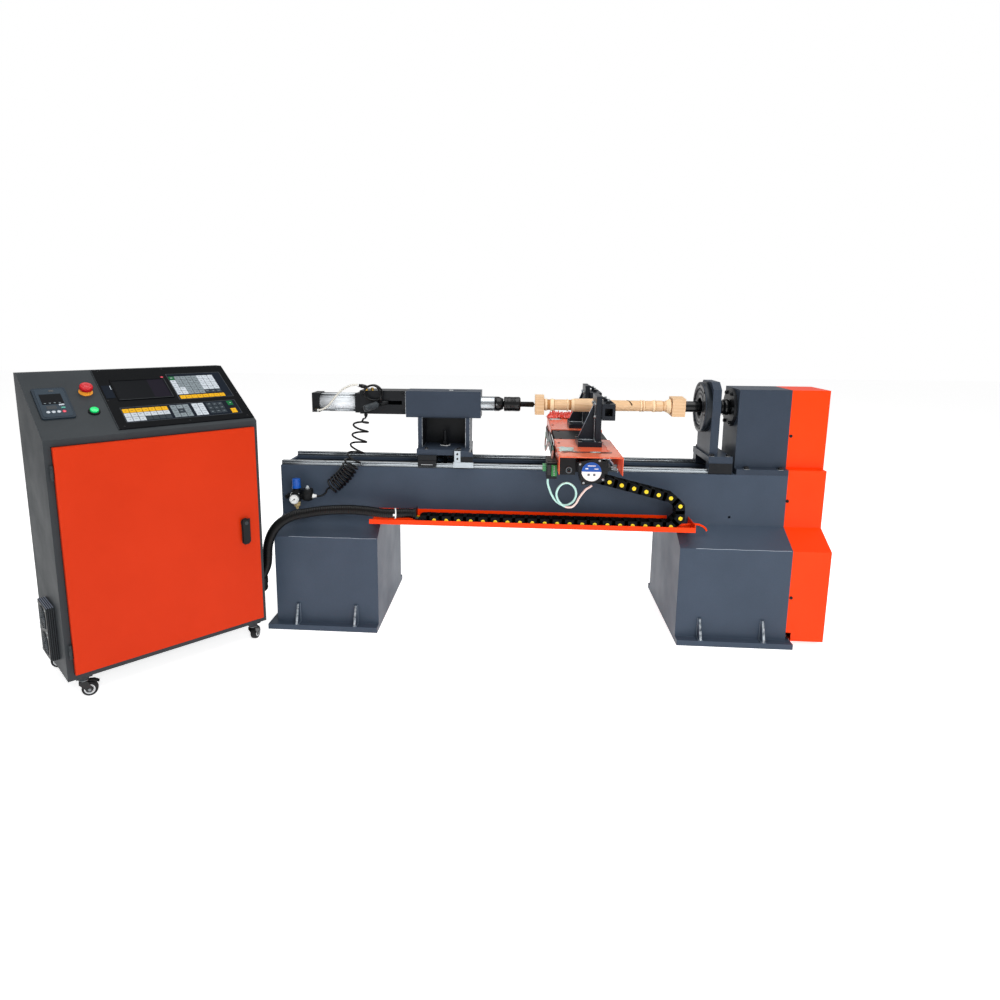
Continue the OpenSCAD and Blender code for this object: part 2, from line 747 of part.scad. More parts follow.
module motor_cable() color("#b8e0d8") tube(cable_route, cable_radius, 8);

module hood(y0, y1) difference() {
    block([carriage_x - hood_half, y0, hood_top - hood_drop],
        [carriage_x + hood_half, y1, hood_top]);
    block([carriage_x - hood_half + sheet, y0 - 1, hood_top - hood_drop - 1],
        [carriage_x + hood_half - sheet, y1 + 1, table_top]);
}

module hoods() color("#e0654a") {
    hood(hood_front_y, hood_mouth_y);
    hood(bed_width + 12, hood_back_y());
}

// Upright post with a square holder, drawn for the front of the machine
module tool_post() {
    difference() {
        union() {
            block([carriage_x - 29, post_foot_y, hood_top],
                [carriage_x + 59, post_foot_y + 133, hood_top + 19]);
            block([post_plate_x, post_foot_y + 10, hood_top + 19],
                [post_plate_x + post_plate, post_foot_y + 140, post_top]);
            profile_y(post_foot_y + 50, post_foot_y + 60)
                polygon([[carriage_x - 23, hood_top + 19], [carriage_x - 23, hood_top + 31],
                    [post_plate_x, post_top - 20], [post_plate_x, hood_top + 19]]);
            block([post_plate_x + post_plate, post_foot_y, holder_z - holder_height / 2],
                [post_plate_x + post_plate + 2 * holder_half, holder_back_y,
                holder_z + holder_height / 2]);
        }
        block([post_plate_x + post_plate + holder_half - socket_side / 2, post_foot_y - 1,
            holder_z - socket_side / 2],
            [post_plate_x + post_plate + holder_half + socket_side / 2, holder_back_y + 1,
            holder_z + socket_side / 2]);
    }
    for (x = [carriage_x - 21, carriage_x + 51], y = [post_foot_y + 10, post_foot_y + 123])
        translate([x, y, hood_top + 19]) hex_head(6.5, 6);
    for (y = [post_foot_y + 30, post_foot_y + 110])
        translate([post_plate_x + post_plate + holder_half, y, holder_z + holder_height / 2])
            cylinder(h = 9, r = 6);
}

module mirror_post() translate([0, 2 * post_mirror, 0]) mirror([0, 1, 0]) children();

module tool_posts() color("#424a54") {
    tool_post();
    mirror_post() tool_post();
}

// A square bar whose end is ground to a point
module cutter(tip_y) {
    x = post_plate_x + post_plate + holder_half;
    half = cutter_side / 2;
    z = holder_z - socket_side / 2;
    block([x - half, post_foot_y + 65, z], [x + half, tip_y - 26, z + cutter_side]);
    translate([0, 0, z]) linear_extrude(cutter_side)
        polygon([[x - half, tip_y - 26], [x + half, tip_y - 26], [x - half + 3, tip_y],
            [x - half, tip_y - 3]]);
}

module cutters() color("#8f9499") {
    cutter(62);
    mirror_post() cutter(2 * post_mirror - 270);
}

// ---------------------------------------------------------------- tailstock
module tailstock_frame() color("#424a54") {
    difference() {
        union() {
            block([tail_x, bed_middle - tail_half, spindle_z - tail_half],
                [tail_x + tail_length, bed_middle + tail_half, spindle_z + tail_half]);
            for (x = [leg_left, leg_right - 19]) block([x, bed_middle - 65, base_top],
                [x + 17, bed_middle + 65, spindle_z - tail_half]);
            block([leg_left, bed_middle + 55, base_top],
                [leg_right - 2, bed_middle + 65, spindle_z - tail_half]);
            block([leg_left, 10, base_bottom], [leg_right, bed_width - 10, base_top]);
            block([tail_x + 207, -10, bed_top + 6], [tail_x + 281, -1.5, bed_top + 69]);
            block([tail_x + 207, -10, bed_top + 69], [tail_x + 264, 10, base_top]);
        }
        on_spindle() rod_x(tail_x - 1, tail_x + tail_length + 1, quill_radius + fit);
        translate([tail_x + 156, bed_middle, block_top - 1]) cylinder(h = 60, r = 9);
        block([tail_x + 106, bed_middle - 7, spindle_z + tail_half - 7],
            [tail_x + 246, bed_middle + 7, spindle_z + tail_half + 1]);
    }
}

module clamp_hardware() color("#2b2e31") {
    for (y = [rail_inset, bed_width - rail_inset]) {
        guide_block(tail_x + 57, tail_x + 132, y);
        guide_block(tail_x + 206, tail_x + 264, y);
        for (x = [[tail_x + 57, tail_x + 132], [tail_x + 206, tail_x + 264]])
            block([x[0], y - riser_half, block_top], [x[1], y + riser_half, base_bottom]);
    }
    translate([tail_x + 156, bed_middle, 0]) {
        translate([0, 0, bed_top - 34]) cylinder(h = 172, r = 8);
        translate([0, 0, base_top]) cylinder(h = 4, r = 17);
        translate([0, 0, base_top + 4]) hex_head(14, 14);
    }
    difference() {
        block([tail_x + 129, 20, bed_top - bed_wall - 18 - gap],
            [tail_x + 183, bed_width - 20, bed_top - bed_wall - gap]);
        translate([tail_x + 156, bed_middle, bed_top - 40]) cylinder(h = 60, r = 8 + fit);
    }
}

module air_cylinder() color("#b9bec2") on_spindle() {
    difference() {
        union() {
            block([cylinder_rear_x, -40, -40], [cylinder_rear_x + 31, 40, 40]);
            rod_x(cylinder_rear_x + 31, cylinder_front_x - 44, 36);
            block([cylinder_front_x - 44, -40, -40], [cylinder_front_x - 22, 40, 40]);
            rod_x(cylinder_front_x - 22, cylinder_front_x - 3, 18);
        }
        rod_x(cylinder_rear_x + 20, cylinder_front_x - 44, cylinder_bore);
        rod_x(cylinder_rear_x + 40, cylinder_front_x, piston_rod_radius + fit);
    }
    for (y = [-32, 32], z = [-32, 32]) translate([0, y, z])
        rod_x(cylinder_rear_x + 31, cylinder_front_x - 44, 4);
}

module cylinder_bracket() color("#1e2124") on_spindle() {
    x0 = cylinder_front_x - 22;
    difference() {
        block([x0, -48, -43], [tail_x, 48, 53]);
        block([x0 + 12, -40, -35], [tail_x + 1, 40, 45]);
        rod_x(x0 - 1, x0 + 13, 18 + fit);
        block([tail_x - 82, -49, -4], [tail_x - 17, -39, 12]);
    }
}

module air_hoses() color("#17191b") {
    translate([346, 71, spindle_z + 53]) {
        cylinder(h = 14, r = 6);
        translate([0, 0, 14]) sphere(r = 7);
    }
    translate([clear_hose_route[0][0], 0, clear_hose_route[0][2]]) {
        rod_y(clear_hose_route[0][1], bed_middle - 40, 6);
        translate([0, clear_hose_route[0][1], 0]) sphere(r = 7);
    }
    tube(clear_hose_route, hose_radius, 8);
    tube(loop_hose_route, hose_radius, 8);
    translate([valve_place[0], 0, valve_place[2]]) rod_y(valve_place[1] - 3, bed_middle - 48, 10);
    at_valve() cylinder(h = 40, r = valve_core);
}

// The hand valve stands out of the bracket, forwards, to the left and a little down
module at_valve() translate(valve_place) rotate([102, 0, -44]) children();

module valve_sleeve() color("#202428") at_valve() translate([0, 0, 14]) difference() {
    cylinder(h = 62, r = 14);
    translate([0, 0, -1]) cylinder(h = 50, r = valve_core + fit);
    translate([0, 0, 56]) cylinder(h = 7, r = 4);
}

module coil_hose() color("#101214") swept(coil_route, coil_radii, 10);

module quill() color("#b4b8bb") on_spindle() {
    difference() {
        turned_x([[0, tail_x + 129], [quill_radius, tail_x + 129], [quill_radius, tail_x + 379],
            [22, quill_end_x], [0, quill_end_x]]);
        rod_x(quill_end_x - 50, quill_end_x + 1, shank_radius + fit);
    }
    rod_x(cylinder_front_x - 64, tail_x + 129, piston_rod_radius);
    rod_x(cylinder_front_x - 84, cylinder_front_x - 64, cylinder_bore - fit);
}

module live_center() color("#c2c5c8") on_spindle() turned_x([[0, quill_end_x - 48],
    [shank_radius, quill_end_x - 48], [shank_radius, quill_end_x + 2], [28, quill_end_x + 2],
    [30, quill_end_x + 5], [30, quill_end_x + 66], [24, quill_end_x + 70],
    [11, quill_end_x + 70], [11, center_tip_x - 6], [0, center_tip_x]]);

// ---------------------------------------------------------------- steady
module steady_frame() color("#424a54") {
    difference() {
        union() {
            profile_x(steady_x, steady_x + 32) polygon([[25, bed_top + 70],
                [bed_width - 25, bed_top + 70], [bed_width - 25, spindle_z + 77],
                [bed_width - 60, spindle_z + 105], [60, spindle_z + 105],
                [25, spindle_z + 77]]);
            on_spindle() rod_x(steady_x - 26, steady_x + 32, 100);
            block([steady_x - 8, 0, bed_top + 45], [steady_x + 84, bed_width, bed_top + 70]);
        }
        on_spindle() rod_x(steady_x - 27, steady_x + 33, 76 + gap);
    }
    on_spindle() difference() {
        rod_x(steady_x - 4, steady_x + 32, 76 + gap);
        rod_x(steady_x - 5, steady_x + 33, 64 + gap);
    }
    for (y = [rail_inset, bed_width - rail_inset]) {
        guide_block(steady_x - 6, steady_x + 84, y);
        block([steady_x - 6, y - 21, block_top], [steady_x + 84, y + 21, bed_top + 45]);
    }
    for (x = [steady_x + 8, steady_x + 68]) translate([x, 12, bed_top + 70]) hex_head(6.5, 6);
}

module steady_ring() color("#7c8286") on_spindle() difference() {
    union() {
        rod_x(steady_x - 24, steady_x - 4 - gap, 74);
        rod_x(steady_x - 4 - gap, steady_x + 20, 64);
    }
    rod_x(steady_x - 25, steady_x + 21, steady_hole);
}

// ---------------------------------------------------------------- workpiece
// Turned outline between the square ends: share of its length, then radius
turning = [[0, 24], [0.02, 25.3], [0.04, 21.4], [0.06, 24.6], [0.083, 20.9], [0.124, 23.5],
    [0.17, 26], [0.192, 20.9], [0.218, 27.4], [0.246, 28.1], [0.29, 28], [0.36, 26.6],
    [0.578, 22.5], [0.67, 23.4], [0.75, 19.5], [0.786, 19.5], [0.82, 20.9], [0.864, 23.9],
    [0.92, 25.4], [0.98, 17.9], [1, 20]];

module workpiece() color("#dcb488") on_spindle() {
    half = wood_side / 2;
    left = wood_x + 37;
    right = drive_rod_x - 52;
    block([wood_x, -half, -half], [left, half, half]);
    block([right, -half, -half], [drive_rod_x, half, half]);
    turned_x(concat([[0, left]], [for (p = turning) [p[1], left + p[0] * (right - left)]],
        [[0, right]]));
}

// ---------------------------------------------------------------- console
module console_outline(inset) {
    lean = inset * tan(slope_angle / 2);
    polygon([[inset, console_bottom + inset], [inset, console_front_z - lean],
        [slope_run + lean, console_top_z - inset], [console_depth - inset,
        console_top_z - inset], [console_depth - inset, console_bottom + inset]]);
}

module caster_plates() for (place = caster_places) translate([place[0], place[1], 0]) {
    difference() {
        union() {
            block([-24, -14, console_bottom - 5], [24, 34, console_bottom]);
            translate([0, 0, console_bottom - 12]) cylinder(h = 8, r = 15);
        }
        translate([0, 0, console_bottom - 13]) cylinder(h = 14, r = 5 + fit);
    }
}

module console_shell() color("#45494c") at_console() {
    difference() {
        profile_x(0, console_width) console_outline(0);
        profile_x(console_wall, console_width - console_wall) console_outline(console_wall);
        block([door_left + 20, -1, door_bottom + 20],
            [door_right - 20, console_wall + 1, door_top - 20]);
        on_slope(estop_place) translate([0, 0, -4]) cylinder(h = 5, r = 9);
        on_slope(start_place) translate([0, 0, -4]) cylinder(h = 5, r = 14);
        for (z = fan_places) translate([0, fan_t, z]) rod_x(-1, console_wall + 1, 41);
    }
    caster_plates();
    for (z = door_hinge_heights) translate([door_left - hinge_reach, -door_depth / 2, z]) {
        translate([0, 0, -hinge_half]) cylinder(h = 2 * hinge_half, r = door_pin_radius);
        for (end = [-hinge_half, knuckle_half + gap]) translate([0, 0, end]) {
            cylinder(h = hinge_half - knuckle_half - gap, r = hinge_radius);
            block([-3, 0, 0], [3, door_depth / 2 + 0.5, hinge_half - knuckle_half - gap]);
        }
    }
}

module door() color("#dc4019") at_console() {
    difference() {
        block([door_left, -door_depth - 2, door_bottom], [door_right, -door_gap, door_top]);
        block([door_left + 2, -door_depth, door_bottom + 2],
            [door_right - 2, 0, door_top - 2]);
        translate([latch_s(), 0, latch_z()]) rod_y(-door_depth - 3, -door_depth + 1, 8 + fit);
    }
    for (z = door_hinge_heights) translate([door_left - hinge_reach, -door_depth / 2, z])
        difference() {
            union() {
                translate([0, 0, -knuckle_half]) cylinder(h = 2 * knuckle_half, r = hinge_radius);
                block([0, 1, -knuckle_half], [hinge_reach + 2, 4, knuckle_half]);
            }
            cylinder(h = 2 * hinge_half, r = door_pin_radius + fit, center = true);
        }
}

function latch_s() = door_right - 57;
function latch_z() = (door_top + door_bottom) / 2 + 21.5;

module door_latch() color("#22262a") at_console() translate([latch_s(), 0, latch_z()]) {
    profile_y(-door_depth - 20, -door_depth - 10)
        polygon([[-17, 15], [17, 15], [17, -75], [7, -84], [-7, -84], [-17, -75]]);
    rod_y(-door_depth - 10, -door_depth - 2 - gap, 16);
    rod_y(-door_depth - 2 - gap, -door_gap - 1, 8);
    block([-8, -door_gap - 4, -8], [8, -door_gap - 1, 20]);
}

module electrics_panel() color("#b0b4b6") at_console() {
    z0 = 150;
    block([60, console_depth - 32, z0], [620, console_depth - 29, z0 + 640]);
    for (s = [80, 600], z = [z0 + 20, z0 + 620]) translate([s, 0, z])
        rod_y(console_depth - 29, console_depth - console_wall, 6);
    for (row = [[90, 420, 100, 200, 110], [210, 420, 100, 200, 110], [340, 430, 240, 180, 90],
            [90, 170, 180, 150, 70], [300, 170, 290, 90, 60], [300, 300, 290, 60, 45]])
        block([row[0], console_depth - 32 - row[4], z0 + row[1] - 150],
            [row[0] + row[2], console_depth - 32, z0 + row[1] - 150 + row[3]]);
}

module inverter_keypad() color("#2a2e31") at_console() {
    on_slope(inverter_place) {
        linear_extrude(inverter_height) offset(6) offset(-6) square(inverter_size);
        translate([16, 68, inverter_height]) cube([62, 52, 2]);
    }
    for (place = [[0, 30], [15, 30], [30, 30], [44, 30], [0, 50], [44, 50], [44, 65]])
        on_slope(inverter_place + [25, 0] + place) translate([0, 0, inverter_height])
            cylinder(h = 2, r = 5, $fn = 16);
}

// Blocks of keys on the slope: corner, columns and rows, pitch, and size of a key
key_blocks = [[[464.5, 176], [5, 5], [20.8, 21.8], [19.4, 20.2]],
    [[568, 176], [3, 5], [21, 21.8], [19.4, 20.2]],
    [[467.5, 151], [8, 1], [20.9, 20], [19.6, 19]],
    [[256.5, 50.5], [7, 3], [21.3, 22.5], [19.8, 20.5]],
    [[414.5, 52], [3, 3], [22, 22.5], [20, 20.5]],
    [[490.5, 53], [2, 3], [22, 22.5], [20.4, 21]],
    [[542, 56], [3, 3], [21, 21], [19, 19]],
    [[621, 95], [1, 1], [21, 26], [20.5, 25]],
    [[620, 51], [1, 1], [21, 26], [20.5, 25]]];
panel_place = [222, 17];
panel_size = [468, 326];
panel_thickness = 4;
key_height = 1.5;
screen_place = [262, 163];
screen_size = [186, 116];
screen_frame = 7;

module keys(block_of_keys) on_slope(block_of_keys[0]) translate([0, 0, panel_thickness])
    for (c = [0:block_of_keys[1][0] - 1], r = [0:block_of_keys[1][1] - 1])
        translate([c * block_of_keys[2][0], r * block_of_keys[2][1], 0])
            cube([block_of_keys[3][0], block_of_keys[3][1], key_height]);

module controller_panel() color("#c9cdd0") at_console() {
    on_slope(panel_place) cube([panel_size[0], panel_size[1], panel_thickness]);
    on_slope(screen_place) translate([0, 0, panel_thickness]) difference() {
        cube([screen_size[0], screen_size[1], 3]);
        translate([screen_frame, screen_frame, 2])
            cube([screen_size[0] - 2 * screen_frame, screen_size[1] - 2 * screen_frame, 2]);
    }
    on_slope([228, 180]) translate([0, 0, panel_thickness]) cube([30, 70, 1]);
    for (block_of_keys = key_blocks) keys(block_of_keys);
    on_slope(estop_place) difference() {
        cylinder(h = 8, r = 22);
        translate([0, 0, -1]) cylinder(h = 10, r = 8 + fit);
    }
    on_slope(start_place) difference() {
        cylinder(h = 7, r = 18);
        translate([0, 0, -1]) cylinder(h = 9, r = 13 + fit);
    }
}

module emergency_stop() color("#d8202c") at_console() on_slope(estop_place) {
    translate([0, 0, 13]) cylinder(h = 14, r = 20);
    translate([0, 0, 27]) cylinder(h = 4, r1 = 20, r2 = 15);
    translate([0, 0, -26]) cylinder(h = 39, r = 8);
}

module start_button() color("#18d070") at_console() on_slope(start_place)
    translate([0, 0, -14]) cylinder(h = 26, r = 13);

module fan_housings() color("#1b1d1f") at_console() difference() {
    block([-25, fan_t - 60, fan_places[0] - 46], [0, fan_t + 60, fan_places[1] + 46]);
    for (z = fan_places) translate([0, fan_t, z]) difference() {
        rod_x(-22, 1, 42);
        rod_x(-23, -16, 3);
    }
    for (z = fan_places) translate([0, fan_t, z]) for (r = [12, 24, 36])
        difference() {
            rod_x(-26, -21, r + 4);
            rod_x(-27, -20, r - 4);
            for (turn = [45, 135]) rotate([turn, 0, 0]) cube([60, 3, 100], center = true);
        }
}

module fan_rotor(z) at_console() translate([0, fan_t, z]) {
    difference() {
        rod_x(-15.5, 0, 16);
        rod_x(-16, -10, 3 + fit);
    }
    for (turn = [0:360 / 7:359]) rotate([turn, 0, 0]) translate([-8, 0, 27])
        rotate([0, 0, 35]) cube([3, 11, 26], center = true);
}

module fan_rotor_1() color("#2a2d30") fan_rotor(fan_places[0]);
module fan_rotor_2() color("#2a2d30") fan_rotor(fan_places[1]);

// A caster: the fork trails behind its swivel, and the wheel turns on the fork's axle
module at_caster(n) at_console() translate([caster_places[n][0], caster_places[n][1], 0])
    rotate([0, 0, caster_turns[n]]) children();

module caster_fork(n) color("#b4b8bb") at_caster(n) {
    translate([0, 0, console_bottom - 16]) cylinder(h = 14, r = 5);
    translate([0, 0, console_bottom - 16]) cylinder(h = 3.5, r = 16);
    for (side = [-1, 1]) profile_y(min(side * 13, side * 15.5), max(side * 13, side * 15.5))
        polygon([[-14, console_bottom - 16], [12, console_bottom - 16],
            [caster_trail + 7, caster_radius - 3], [caster_trail, caster_radius - 8],
            [caster_trail - 8, caster_radius - 3]]);
    block([-14, -15.5, console_bottom - 18], [12, 15.5, console_bottom - 15.5]);
    translate([caster_trail, 0, caster_radius]) rod_y(-15.5, 15.5, 4);
    if (n == brake_caster) profile_y(-9, 9) polygon([[11, console_bottom - 18],
        [30, console_bottom - 20], [44, console_bottom - 28], [46, console_bottom - 26],
        [31, console_bottom - 17], [11, console_bottom - 15]]);
}

module caster_wheel(n) color("#1c1e20") at_caster(n)
    translate([caster_trail, 0, caster_radius]) difference() {
        rod_y(-11, 11, caster_radius);
        rod_y(-12, 12, 4 + fit);
    }

module caster_fork_1() caster_fork(0);
module caster_fork_2() caster_fork(1);
module caster_fork_3() caster_fork(2);
module caster_fork_4() caster_fork(3);
module caster_wheel_1() caster_wheel(0);
module caster_wheel_2() caster_wheel(1);
module caster_wheel_3() caster_wheel(2);
module caster_wheel_4() caster_wheel(3);

at_origin() bed_beam();
at_origin() pedestals();
at_origin() headstock_column();
at_origin() guide_rails();
at_origin() x_servo_drive();
at_origin() spindle_housing();
at_origin() spindle_motor();
at_origin() v_belt();
at_origin() end_covers();
at_origin() cable_tray();
at_origin() drag_chain();
at_origin() conduit();
at_origin() conduit_glands();
at_origin() air_unit();
at_origin() console_shell();
at_origin() electrics_panel();
at_origin() inverter_keypad();
at_origin() controller_panel();
at_origin() fan_housings();
at_origin() saddle();
at_origin() carriage_guides();
at_origin() cross_rails();
at_origin() cross_motor();
at_origin() driver_box();
at_origin() motor_cable();
at_origin() slide_table();
at_origin() hoods();
at_origin() tool_posts();
at_origin() cutters();
at_origin() x_screw();
at_origin() cross_screw();
at_origin() tailstock_frame();
at_origin() air_cylinder();
at_origin() cylinder_bracket();
at_origin() clamp_hardware();
at_origin() air_hoses();
at_origin() coil_hose();
at_origin() valve_sleeve();
at_origin() quill();
at_origin() live_center();
at_origin() steady_frame();
at_origin() steady_ring();
at_origin() spindle_shaft();
at_origin() workpiece();
at_origin() motor_pulley();
at_origin() door();
at_origin() door_latch();
at_origin() emergency_stop();
at_origin() start_button();
at_origin() caster_fork_1();
at_origin() caster_fork_2();
at_origin() caster_fork_3();
at_origin() caster_fork_4();
at_origin() caster_wheel_1();
at_origin() caster_wheel_2();
at_origin() caster_wheel_3();
at_origin() caster_wheel_4();
at_origin() regulator_knob();
at_origin() fan_rotor_1();
at_origin() fan_rotor_2();
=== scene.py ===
"""Finishes, fine pieces, cords and studio for a CNC wood turning lathe with its console.

Lengths are in millimetres in the lathe's own frame (x along the bed from its left end, y back
from the bed's front face, z above the floor) or in the console's frame (s across its front,
t back from it, z up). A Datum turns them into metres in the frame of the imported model.
"""
import json
import logging
import math
from dataclasses import dataclass
from enum import Enum

import bmesh
import bpy
import numpy as np
from mathutils import Matrix, Vector


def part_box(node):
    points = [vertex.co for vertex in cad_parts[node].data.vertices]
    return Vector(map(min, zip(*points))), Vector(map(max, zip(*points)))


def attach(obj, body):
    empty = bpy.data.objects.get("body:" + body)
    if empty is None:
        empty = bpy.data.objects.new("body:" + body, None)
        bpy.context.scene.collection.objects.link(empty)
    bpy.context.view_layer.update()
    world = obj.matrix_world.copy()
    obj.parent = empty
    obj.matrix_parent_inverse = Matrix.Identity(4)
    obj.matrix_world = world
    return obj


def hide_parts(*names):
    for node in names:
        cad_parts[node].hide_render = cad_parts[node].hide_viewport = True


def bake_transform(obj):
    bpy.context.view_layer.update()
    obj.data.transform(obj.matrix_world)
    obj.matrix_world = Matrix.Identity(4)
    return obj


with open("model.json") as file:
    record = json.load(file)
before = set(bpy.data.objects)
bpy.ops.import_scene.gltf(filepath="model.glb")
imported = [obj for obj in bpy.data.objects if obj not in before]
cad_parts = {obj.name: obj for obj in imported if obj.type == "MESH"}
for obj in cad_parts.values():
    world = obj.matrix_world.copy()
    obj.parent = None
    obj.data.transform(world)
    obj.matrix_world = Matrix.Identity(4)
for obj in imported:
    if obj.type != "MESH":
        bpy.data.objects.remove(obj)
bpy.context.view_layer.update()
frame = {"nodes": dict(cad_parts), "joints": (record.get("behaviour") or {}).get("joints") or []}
LOG = logging.getLogger("lathe")
MM = 0.001
Pair = tuple[float, float]
Triple = tuple[float, float, float]
Quad = tuple[float, float, float, float]
Row = tuple[float, ...]
UP, DOWN = (0, 0, 1), (0, 0, -1)
RIGHT, LEFT = (1, 0, 0), (-1, 0, 0)
BACK, FRONT = (0, 1, 0), (0, -1, 0)


# --- places
def lathe_origin() -> np.ndarray:
    """The bed's left front corner on the floor, in the row frame, in metres."""
    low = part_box("bed_beam")[0]
    return np.array([low[0], low[1], 0.0])


@dataclass(frozen=True)
class Datum:
    """A frame that pieces are drawn in: its origin in metres and its three directions."""

    origin: np.ndarray
    axes: np.ndarray

    def place(self, points: np.ndarray | list) -> np.ndarray:
        """Rows of x, y, z in millimetres in this frame, as metres in the row frame."""
        return np.asarray(points, float) @ self.axes * MM + self.origin

    def point(self, point: Triple) -> np.ndarray:
        """One point of this frame in the row frame, in metres."""
        return self.place([point])[0]

    def moved(self, offset: Triple) -> "Datum":
        """The same frame with its origin moved by an offset in its own millimetres."""
        return Datum(self.point(offset), self.axes)

    def turned(self, axis: int, degrees: float) -> "Datum":
        """The same frame turned about one of its own axes.

        Args:
            axis: 0, 1 or 2 for the frame's x, y or z.
            degrees: The angle, right-handed.

        Returns:
            The turned frame, with the same origin.
        """
        a, b = (axis + 1) % 3, (axis + 2) % 3
        c, s = math.cos(math.radians(degrees)), math.sin(math.radians(degrees))
        axes = self.axes.copy()
        axes[a] = c * self.axes[a] + s * self.axes[b]
        axes[b] = c * self.axes[b] - s * self.axes[a]
        return Datum(self.origin, axes)


def joint(name: str) -> dict:
    """The joint of that name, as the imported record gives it."""
    return next(j for j in frame["joints"] if j["name"] == name)


LATHE = Datum(lathe_origin(), np.eye(3))
CONSOLE_TURN = 47.78
DOOR_PIN = (15.0, -7.0)


def console_datum() -> Datum:
    """The console's frame, found from the door's hinge pin: x across, y into it and z up."""
    pin = np.array(joint("door_hinge")["pos_m"], float)
    flat = Datum(np.zeros(3), np.eye(3)).turned(2, CONSOLE_TURN)
    offset = flat.point((*DOOR_PIN, 0.0))
    return Datum(np.array([pin[0] - offset[0], pin[1] - offset[1], 0.0]), flat.axes)


CONSOLE = console_datum()
VALVE = LATHE.moved((404, 62, 904)).turned(2, -44).turned(0, 102)


@dataclass(frozen=True)
class Span:
    """The box of a CAD node in the lathe's frame, in millimetres."""

    low: np.ndarray
    high: np.ndarray

    @classmethod
    def of(cls, node: str) -> "Span":
        """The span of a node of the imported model."""
        return cls(*((np.array(corner) - LATHE.origin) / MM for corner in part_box(node)))


# --- finishes
def linear(hex_colour: str) -> Quad:
    """An sRGB hex colour as linear light, by the usual two-part curve, with an alpha of one."""
    values = np.array([int(hex_colour[i:i + 2], 16) for i in (1, 3, 5)]) / 255.0
    out = np.where(values <= 0.04045, values / 12.92, ((values + 0.055) / 1.055) ** 2.4)
    return (*out.tolist(), 1.0)


def add_node(tree: bpy.types.NodeTree, kind: str, links: dict | None = None,
             **settings: object) -> bpy.types.Node:
    """Adds a node, sets its sockets and properties, and links its inputs.

    Args:
        tree: The material's node tree.
        kind: The node's type name, after its ShaderNode.
        links: Input socket name or number, to the output socket that feeds it.
        settings: Socket names with underscores for spaces, or property names, and values.

    Returns:
        The new node.
    """
    node = tree.nodes.new("ShaderNode" + kind)
    for key, value in settings.items():
        socket = node.inputs.get(key.replace("_", " "))
        if hasattr(node, key):
            setattr(node, key, value)
        elif socket is not None:
            socket.default_value = value
        else:
            raise KeyError(f"{kind} has no {key}")
    for key, source in (links or {}).items():
        tree.links.new(source, node.inputs[key])
    return node


def new_material(name: str) -> tuple[bpy.types.Material, bpy.types.NodeTree, bpy.types.NodeSocket]:
    """Starts a material with an empty node tree.

    Args:
        name: The material's name.

    Returns:
        The material, its node tree and the socket that gives the coordinates on the object.
    """
    material = bpy.data.materials.new(name)
    material.use_nodes = True
    tree = material.node_tree
    tree.nodes.clear()
    return material, tree, add_node(tree, "TexCoord").outputs["Object"]


def remap(tree: bpy.types.NodeTree, noise: bpy.types.NodeSocket, low: float,
          high: float) -> bpy.types.NodeSocket:
    """Spreads the middle of a noise, from 0.3 to 0.7, over the range from low to high."""
    return add_node(tree, "MapRange", {"Value": noise}, From_Min=0.3, From_Max=0.7, To_Min=low,
                    To_Max=high).outputs["Result"]


def coated(tree: bpy.types.NodeTree, colour: bpy.types.NodeSocket, fine: bpy.types.NodeSocket,
           shade: Pair, edge_mm: float, bump: dict, links: dict, **settings: object) -> None:
    """Closes a material: a fine noise shades its colour and bumps it, and its edges are rounded.

    Args:
        tree: The material's node tree.
        colour: The colour before shading.
        fine: The fine noise.
        shade: What the noise multiplies the colour by, from its low to its high.
        edge_mm: The radius of the rounded edges.
        bump: The bump's strength and distance.
        links: Further sockets of the shader that are fed, and their sources.
        settings: Constants of the shader.
    """
    tinted = add_node(tree, "VectorMath", {0: colour, "Scale": remap(tree, fine, *shade)},
                      operation="SCALE").outputs["Vector"]
    soft = add_node(tree, "Bevel", samples=4, Radius=edge_mm * MM).outputs[0]
    normal = add_node(tree, "Bump", {"Height": fine, "Normal": soft}, **bump).outputs["Normal"]
    shader = add_node(tree, "BsdfPrincipled", {"Base Color": tinted, "Normal": normal, **links}, **settings)
    add_node(tree, "OutputMaterial", {"Surface": shader.outputs["BSDF"]})


class Pattern(Enum):
    """How a surface was made: how far its fine marks are drawn out along x, y and z."""

    PLAIN = (1.0, 1.0, 1.0)
    ALONG_X = (0.03, 1.0, 1.0)
    ROUND_X = (1.0, 0.03, 0.03)
    ALONG_Y = (1.0, 0.03, 1.0)


